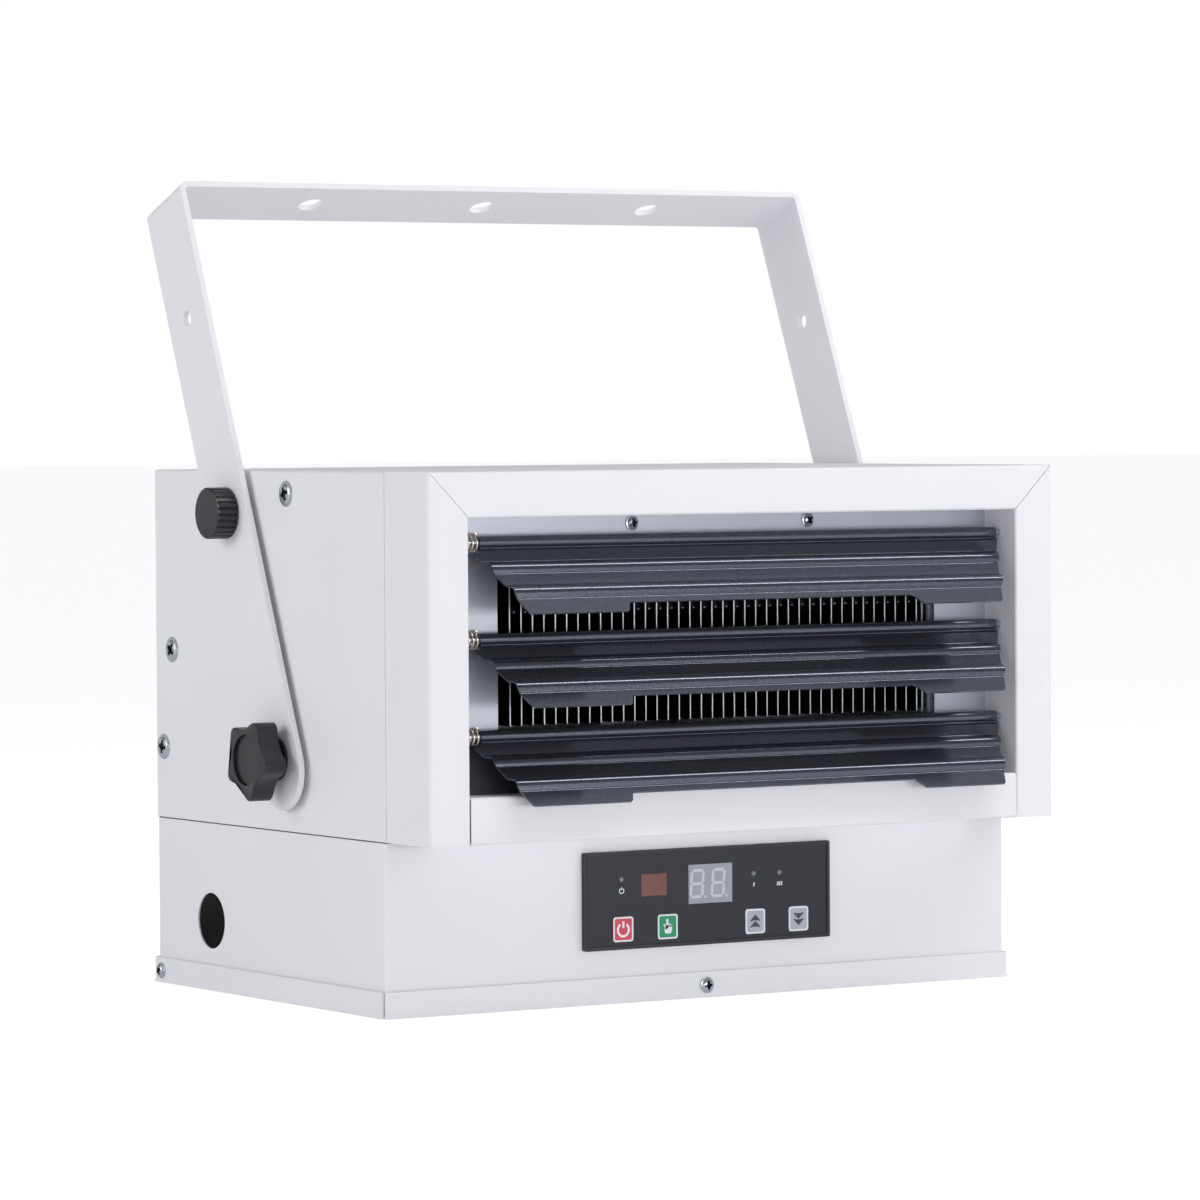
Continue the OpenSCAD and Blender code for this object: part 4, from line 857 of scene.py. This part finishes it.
def handSymbol(ink):
    # a pointing hand: one raised finger, three folded ones, a thumb and the palm with its cuff
    return [
        (flatShape([(-1.5, -3.4), (1.9, -3.4), (2.5, -1.6), (2.7, 0.5), (-0.9, 0.7), (-2.1, -1.3)], ink), (0, 0)),
        (flatShape([(-0.95, -0.6), (0.35, -0.6), (0.35, 3.5), (0.05, 3.95), (-0.6, 3.95), (-0.95, 3.5)], ink), (0, 0)),
        (flatShape([(0.5, 0), (1.25, 0), (1.25, 1.25), (1.05, 1.5), (0.7, 1.5), (0.5, 1.25)], ink), (0, 0)),
        (flatShape([(1.35, 0), (2.05, 0), (2.05, 1.0), (1.9, 1.25), (1.5, 1.25), (1.35, 1.0)], ink), (0, 0)),
        (flatShape([(2.12, -0.3), (2.75, -0.3), (2.75, 0.65), (2.6, 0.9), (2.3, 0.9), (2.12, 0.65)], ink), (0, 0)),
        (flatShape([(-2.6, 0.9), (-1.0, -1.6), (-0.2, -0.9), (-2.0, 1.4), (-2.5, 1.4)], ink), (0, 0)),
    ]


def arrowSymbol(way, ink):
    # two arrowheads, one over the other, pointing up or down
    head = [(-3.0, -0.2), (-2.6, -0.6), (-1.1, -0.05), (0, -0.25), (1.1, -0.05), (2.6, -0.6), (3.0, -0.2),
            (0.25, 2.6), (-0.25, 2.6)]
    turned = [(x, way * z) for x, z in head]
    return [(flatShape(turned, ink), (0, way * 0.55)), (flatShape(turned, ink), (0, -way * 2.6))]


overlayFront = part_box("control_overlay")[0].y
keySymbols = {
    "power_button": (powerSymbol(6.4, 1.15, keySetup["symbolInk"]), whiteInk),
    "mode_button": (handSymbol(keySetup["symbolInk"]), whiteInk),
    "up_button": (arrowSymbol(1, keySetup["symbolInk"]), darkInk),
    "down_button": (arrowSymbol(-1, keySetup["symbolInk"]), darkInk),
}
for nodeName, (parts, ink) in keySymbols.items():
    low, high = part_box(nodeName)
    face = overlayFront - keySetup["bulge"] * mm
    middle = Vector(((low.x + high.x) / 2, face, (low.z + high.z) / 2))
    body, slot = bodyOf(nodeName), nodeSlots[nodeName]
    outline = joined([(roundedRing(keySetup), (0, 0))], middle)
    addPiece(pieceName(nodeName) + "Outline", outline, whiteInk, body)
    addPiece(pieceName(nodeName) + "Symbol", joined(parts, middle), ink, body)
print("stage: key symbols printed")

# numerals in mm; "places" is the middle of each one from the middle of the window
digitSetup = {"height": 13.2, "width": 6.8, "band": 1.5, "gap": 0.2, "lean": 0.5, "ink": 0.08, "point": 1.2,
              "pointAt": (1.6, -0.1), "places": ((-8.0, 0.2), (4.6, 0.2))}


def segment(length, band, ink, upright, lean):
    # one bar of a numeral, pointed at both ends
    half, wide = length / 2, band / 2
    points = [(-half, 0), (-half + wide, -wide), (half - wide, -wide), (half, 0), (half - wide, wide),
              (-half + wide, wide)]
    if upright:
        points = [(z + lean * x / half, x) for x, z in points][::-1]
    return flatShape(points, ink)


def digit(setup, x, z):
    # the seven unlit segments of one numeral and its point
    half, high = setup["width"] / 2, setup["height"] / 2
    run, tall = setup["width"] - 2 * setup["gap"], high - 2 * setup["gap"]
    band, ink, lean = setup["band"], setup["ink"], setup["lean"]
    parts = [(segment(run, band, ink, False, 0), (x + lean * k, z + k * high)) for k in (-1, 0, 1)]
    for side in (-1, 1):
        for k in (-0.5, 0.5):
            parts.append((segment(tall, band, ink, True, lean / 2), (x + side * half + lean * k, z + k * high)))
    right, below = setup["pointAt"]
    parts.append((bar(setup["point"], setup["point"], ink), (x + half + right, z - high + below)))
    return parts


low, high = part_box("display_window")
centre = Vector(((low.x + high.x) / 2, low.y, (low.z + high.z) / 2))
digits = [part for x, z in digitSetup["places"] for part in digit(digitSetup, x, z)]
addPiece("displayDigits", joined(digits, centre), digitPlastic, "heater")

# small printed marks under the lamps: on, low heat and high heat
lensCentres = [(low + high) / 2 for low, high in islandBoxes("indicator_lenses")]
markSetup = {"drop": 5.6, "ink": 0.06, "size": 2.6, "band": 0.45, "bar": (0.7, 2.0), "lean": 0.15, "spacing": 1.2}


def heatMark(setup, count):
    # one leaning bar for low heat and three for high heat
    places = [(k - (count - 1) / 2) * setup["spacing"] for k in range(count)]
    return [(bar(*setup["bar"], setup["ink"], setup["lean"]), (x, 0)) for x in places]


marks = [powerSymbol(markSetup["size"], markSetup["band"], markSetup["ink"]), heatMark(markSetup, 1),
         heatMark(markSetup, 3)]
for name, parts, lens in zip(("onMark", "lowHeatMark", "highHeatMark"), marks, lensCentres):
    at = Vector((lens.x, overlayFront, lens.z - markSetup["drop"] * mm))
    addPiece(name, joined(parts, at), whiteInk, "heater")
print("stage: panel printed")


# Floor, light and background
stageSetup = {
    "floor": cadBox[0][2] - 0.2 * mm,
    "size": 60,              # metres, far enough for its edge to lie at the horizon
    "floorColour": "#F2F2F4", "shadowColour": "#C0C0C2", "floorGlow": 0.8,
    "floorReflected": 0.25,  # share of the glowing floor that shiny parts see
    "background": 1.0,
    "worldColour": "#F4F6FB", "worldLight": 0.32,
    # brightness that shiny parts see, from straight down at 0 to straight up at 1
    "below": 0.5, "above": 0.6,
    "reflected": ((0.44, 0.8), (0.56, 0.8), (0.62, 0.22), (0.84, 0.17), (0.92, 0.5)),
}


def addFloor(setup):
    # the camera sees a duller floor with a glow, which keeps the object's shadow on white, and light bounces
    # off a plain pale one
    mesh = bmesh.new()
    bmesh.ops.create_grid(mesh, x_segments=1, y_segments=1, size=setup["size"] / 2)
    bmesh.ops.translate(mesh, verts=mesh.verts, vec=(0, 0, setup["floor"]))
    data = bpy.data.meshes.new("floor")
    mesh.to_mesh(data)
    mesh.free()
    floor = bpy.data.objects.new("floor", data)
    bpy.context.scene.collection.objects.link(floor)
    material, tree = newMaterial("paleStudioFloor")
    path = addNode(tree, "ShaderNodeLightPath")
    share = addNode(tree, "ShaderNodeMath", {1: setup["floorReflected"]}, {0: path.outputs["Is Glossy Ray"]},
                    operation="MULTIPLY")
    seen = addNode(tree, "ShaderNodeMath", links={0: path.outputs["Is Camera Ray"], 1: share.outputs["Value"]},
                   operation="MAXIMUM")
    pale = addNode(tree, "ShaderNodeBsdfDiffuse", {"Color": linearColour(setup["floorColour"])})
    soft = addNode(tree, "ShaderNodeBsdfDiffuse", {"Color": linearColour(setup["shadowColour"])})
    glow = addNode(tree, "ShaderNodeEmission", {"Color": (1, 1, 1, 1), "Strength": setup["floorGlow"]})
    lit = addNode(tree, "ShaderNodeAddShader", links={0: soft.outputs["BSDF"], 1: glow.outputs["Emission"]})
    mixed = addNode(tree, "ShaderNodeMixShader", links={0: seen.outputs["Value"], 1: pale.outputs["BSDF"],
                                                        2: lit.outputs["Shader"]})
    addNode(tree, "ShaderNodeOutputMaterial", links={"Surface": mixed.outputs["Shader"]})
    data.materials.append(material)


def addWorld(setup):
    world = bpy.data.worlds.new("paleStudio")
    bpy.context.scene.world = world
    world.use_nodes = True
    tree = world.node_tree
    tree.nodes.clear()
    path = addNode(tree, "ShaderNodeLightPath")
    seen = addNode(tree, "ShaderNodeMath",
                   links={0: path.outputs["Is Camera Ray"], 1: path.outputs["Is Transmission Ray"]},
                   operation="MAXIMUM")
    light = addNode(tree, "ShaderNodeBackground",
                    {"Color": linearColour(setup["worldColour"]), "Strength": setup["worldLight"]})
    # what shiny parts reflect: a bright horizon, dark studio walls above it and a pale ceiling
    place = addNode(tree, "ShaderNodeTexCoord")
    height = addNode(tree, "ShaderNodeSeparateXYZ", links={"Vector": place.outputs["Generated"]})
    ramp = addNode(tree, "ShaderNodeValToRGB")
    shared = addNode(tree, "ShaderNodeMath", {1: 0.5, 2: 0.5}, {0: height.outputs["Z"]}, operation="MULTIPLY_ADD")
    tree.links.new(shared.outputs["Value"], ramp.inputs["Fac"])
    stops = ramp.color_ramp.elements
    stops[0].position, stops[1].position = 0.0, 1.0
    stops[0].color, stops[1].color = (*[setup["below"]] * 3, 1), (*[setup["above"]] * 3, 1)
    for position, level in setup["reflected"]:
        stops.new(position).color = (level, level, level * 1.03, 1)
    mirror = addNode(tree, "ShaderNodeBackground", {"Strength": 1.0}, {"Color": ramp.outputs["Color"]})
    lit = addNode(tree, "ShaderNodeMixShader",
                  links={0: path.outputs["Is Glossy Ray"], 1: light.outputs["Background"],
                         2: mirror.outputs["Background"]})
    plain = addNode(tree, "ShaderNodeBackground", {"Color": (1, 1, 1, 1), "Strength": setup["background"]})
    mixed = addNode(tree, "ShaderNodeMixShader", links={0: seen.outputs["Value"], 1: lit.outputs["Shader"],
                                                        2: plain.outputs["Background"]})
    addNode(tree, "ShaderNodeOutputWorld", links={"Surface": mixed.outputs["Shader"]})


# soft boxes: metres and watts; "aim" is the point that one faces, and the middle of the heater if it is left out
heaterPoint = (0, -0.1, -0.25)
lamps = {
    "keyLamp": {"place": (1.9, -1.7, -0.1), "size": (0.9, 0.9), "power": 4.6, "reflected": False},
    "lowLamp": {"place": (0.0, -1.9, -0.26), "size": (1.4, 0.22), "power": 9, "aim": (0, -0.2, -0.42)},
    "topBox": {"place": (0.95, -0.86, 1.11), "size": (2.4, 0.26), "power": 14, "aim": (0.95, -0.26, -0.2)},
    "sideLamp": {"place": (-2.1, 0.25, 0.4), "size": (1.0, 1.0), "power": 13.5},
    "sideFill": {"place": (-2.2, -0.6, -0.15), "size": (1.2, 0.5), "power": 3.5},
}


def addLamp(name, setup):
    data = bpy.data.lights.new(name, "AREA")
    data.shape = "RECTANGLE"
    data.size, data.size_y = setup["size"]
    data.energy = setup["power"]
    lamp = bpy.data.objects.new(name, data)
    aim = Vector(setup.get("aim", heaterPoint)) - Vector(setup["place"])
    lamp.rotation_euler = aim.to_track_quat("-Z", "Y").to_euler()
    lamp.location = setup["place"]
    lamp.visible_glossy = setup.get("reflected", True)
    bpy.context.scene.collection.objects.link(lamp)


addFloor(stageSetup)
addWorld(stageSetup)
for name, setup in lamps.items():
    addLamp(name, setup)
print("stage: floor and lights placed")
